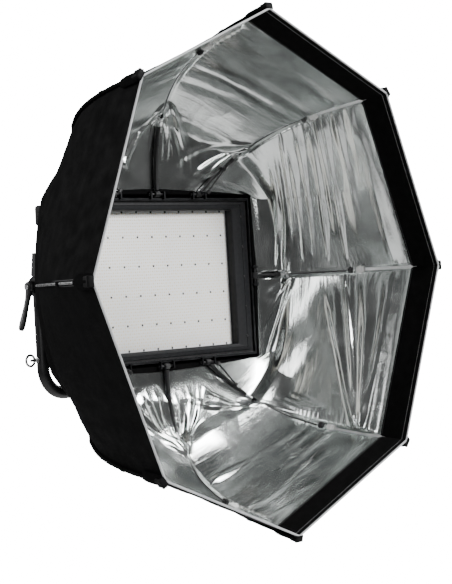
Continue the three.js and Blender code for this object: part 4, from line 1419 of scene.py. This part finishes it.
def eye_bolt():
    z = AXIS_Z - 0.166
    ring_x, ring_radius, wire = -0.3985, 0.0124, 0.0030
    loop = [(ring_x + ring_radius * math.cos(a), 0, z + ring_radius * math.sin(a))
            for a in np.linspace(0, 2 * math.pi, 40, endpoint=False)]
    ring = swept("ring", loop, ring_section(wire, 14), STEEL, ups=[(0, 1, 0)] * len(loop), closed=True)
    shank_start = -0.3758
    shank = lathe("shank", [(0.0030, 0), (0.0030, -shank_start + ring_x + ring_radius)], STEEL,
                  (ring_x + ring_radius - 0.0006, 0, z), (1, 0, 0), 20)
    collar = lathe("collar", [(0.0056, 0), (0.0070, 0.0006), (0.0070, 0.0026), (0.0056, 0.0032)], STEEL,
                   (shank_start, 0, z), (-1, 0, 0), 6)
    made = joined("eye", [ring, shank, collar])
    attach(made, "yoke")
    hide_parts("eye_bolt")


def yoke_base():
    low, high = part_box("yoke_base")
    low = (low[0], low[1] + 0.0035, low[2])
    block = rounded_box("base", low, high, 0.004, YOKE_PAINT, 4)
    parts = [block]
    for x in (-0.028, 0.028):
        for y, axis in ((low[1], (0, -1, 0)), (high[1], (0, 1, 0))):
            parts.append(screw_head("base_screw", (x, y, low[2] + 0.012), axis, 0.0042))
    made = joined("base", parts)
    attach(made, "yoke")
    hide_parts("yoke_base")


def spigot():
    profile = [(0.001, -0.080), (0.0120, -0.080), (0.0138, -0.0784), (0.0140, -0.078), (0.0140, -0.050),
               (0.0136, -0.0494), (0.0112, -0.0464), (0.0110, -0.046), (0.0110, -0.036), (0.0112, -0.0356),
               (0.0136, -0.0326), (0.0140, -0.032), (0.0140, 0.0), (0.0232, 0.0), (0.0240, 0.0008),
               (0.0240, 0.0072), (0.0232, 0.0080), (0.001, 0.0080)]
    made = lathe("stand_spigot", profile, STEEL, (0, 0, 0), (0, 0, 1), 56)
    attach(made, "yoke")
    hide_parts("spigot")


cloth_collar()
frame_edge()
gap_gasket()
lamp_bezel()
led_board()
lamp_shell()
control_box()
control_panel()
dimmer_knob()
corner_bumpers()
bracket_fasteners()
yoke()
pivot_studs()
tilt_lever()
tilt_nut()
eye_bolt()
yoke_base()
spigot()
paint_node("adapter_frame", FRAME_METAL)
paint_node("heat_sink", LAMP_PAINT)
for side in ("left", "right"):
    paint_node(f"side_bracket_{side}", LAMP_PAINT)
    for vertical in ("top", "bottom"):
        paint_node(f"frame_latch_{vertical}_{side}", LATCH)


# ---- Studio --------------------------------------------------------------------------------------
def area_light(name, place, target, size, power):
    data = bpy.data.lights.new(name, "AREA")
    data.shape = "RECTANGLE"
    data.size, data.size_y = size
    data.energy = power
    light = bpy.data.objects.new(name, data)
    bpy.context.scene.collection.objects.link(light)
    aim = (Vector(target) - Vector(place)).to_track_quat("-Z", "Y")
    light.matrix_world = Matrix.Translation(place) @ aim.to_matrix().to_4x4()


def round_floor(radius, height):
    turns = [2 * math.pi * k / 96 for k in range(96)]
    rim = [(radius * math.cos(a), radius * math.sin(a), height) for a in turns]
    return new_object("floor", rim, [tuple(range(96))], floor_white(), smooth=False)


FLOOR_RADIUS = 2.6
FLOOR_HEIGHT = -1.2
ROOM_BRIGHTNESS = 0.09
BACKDROP_BRIGHTNESS = 20.0


def studio():
    """Four soft lights, a low floor, and a world that is dim as light but white behind the object."""
    round_floor(FLOOR_RADIUS, FLOOR_HEIGHT)
    world = bpy.data.worlds.new("studio")
    world.use_nodes = True
    bpy.context.scene.world = world
    tree = world.node_tree
    background = tree.nodes["Background"]
    path = tree.nodes.new("ShaderNodeLightPath")
    mix = tree.nodes.new("ShaderNodeMix")
    mix.inputs[2].default_value = ROOM_BRIGHTNESS
    mix.inputs[3].default_value = BACKDROP_BRIGHTNESS
    tree.links.new(path.outputs["Is Camera Ray"], mix.inputs["Factor"])
    tree.links.new(mix.outputs[0], background.inputs["Strength"])
    background.inputs["Color"].default_value = (1.0, 1.0, 1.0, 1)
    middle = tuple(BOX_MIDDLE)
    area_light("key", (1.6, -3.6, 2.6), middle, (1.5, 1.5), 380)
    area_light("fill", (-3.6, -2.2, 1.4), middle, (0.9, 2.2), 60)
    area_light("back", (-2.2, 2.6, 1.8), middle, (1.6, 1.6), 110)
    area_light("far_side", (3.4, 0.8, 1.0), middle, (1.2, 2.4), 100)


studio()
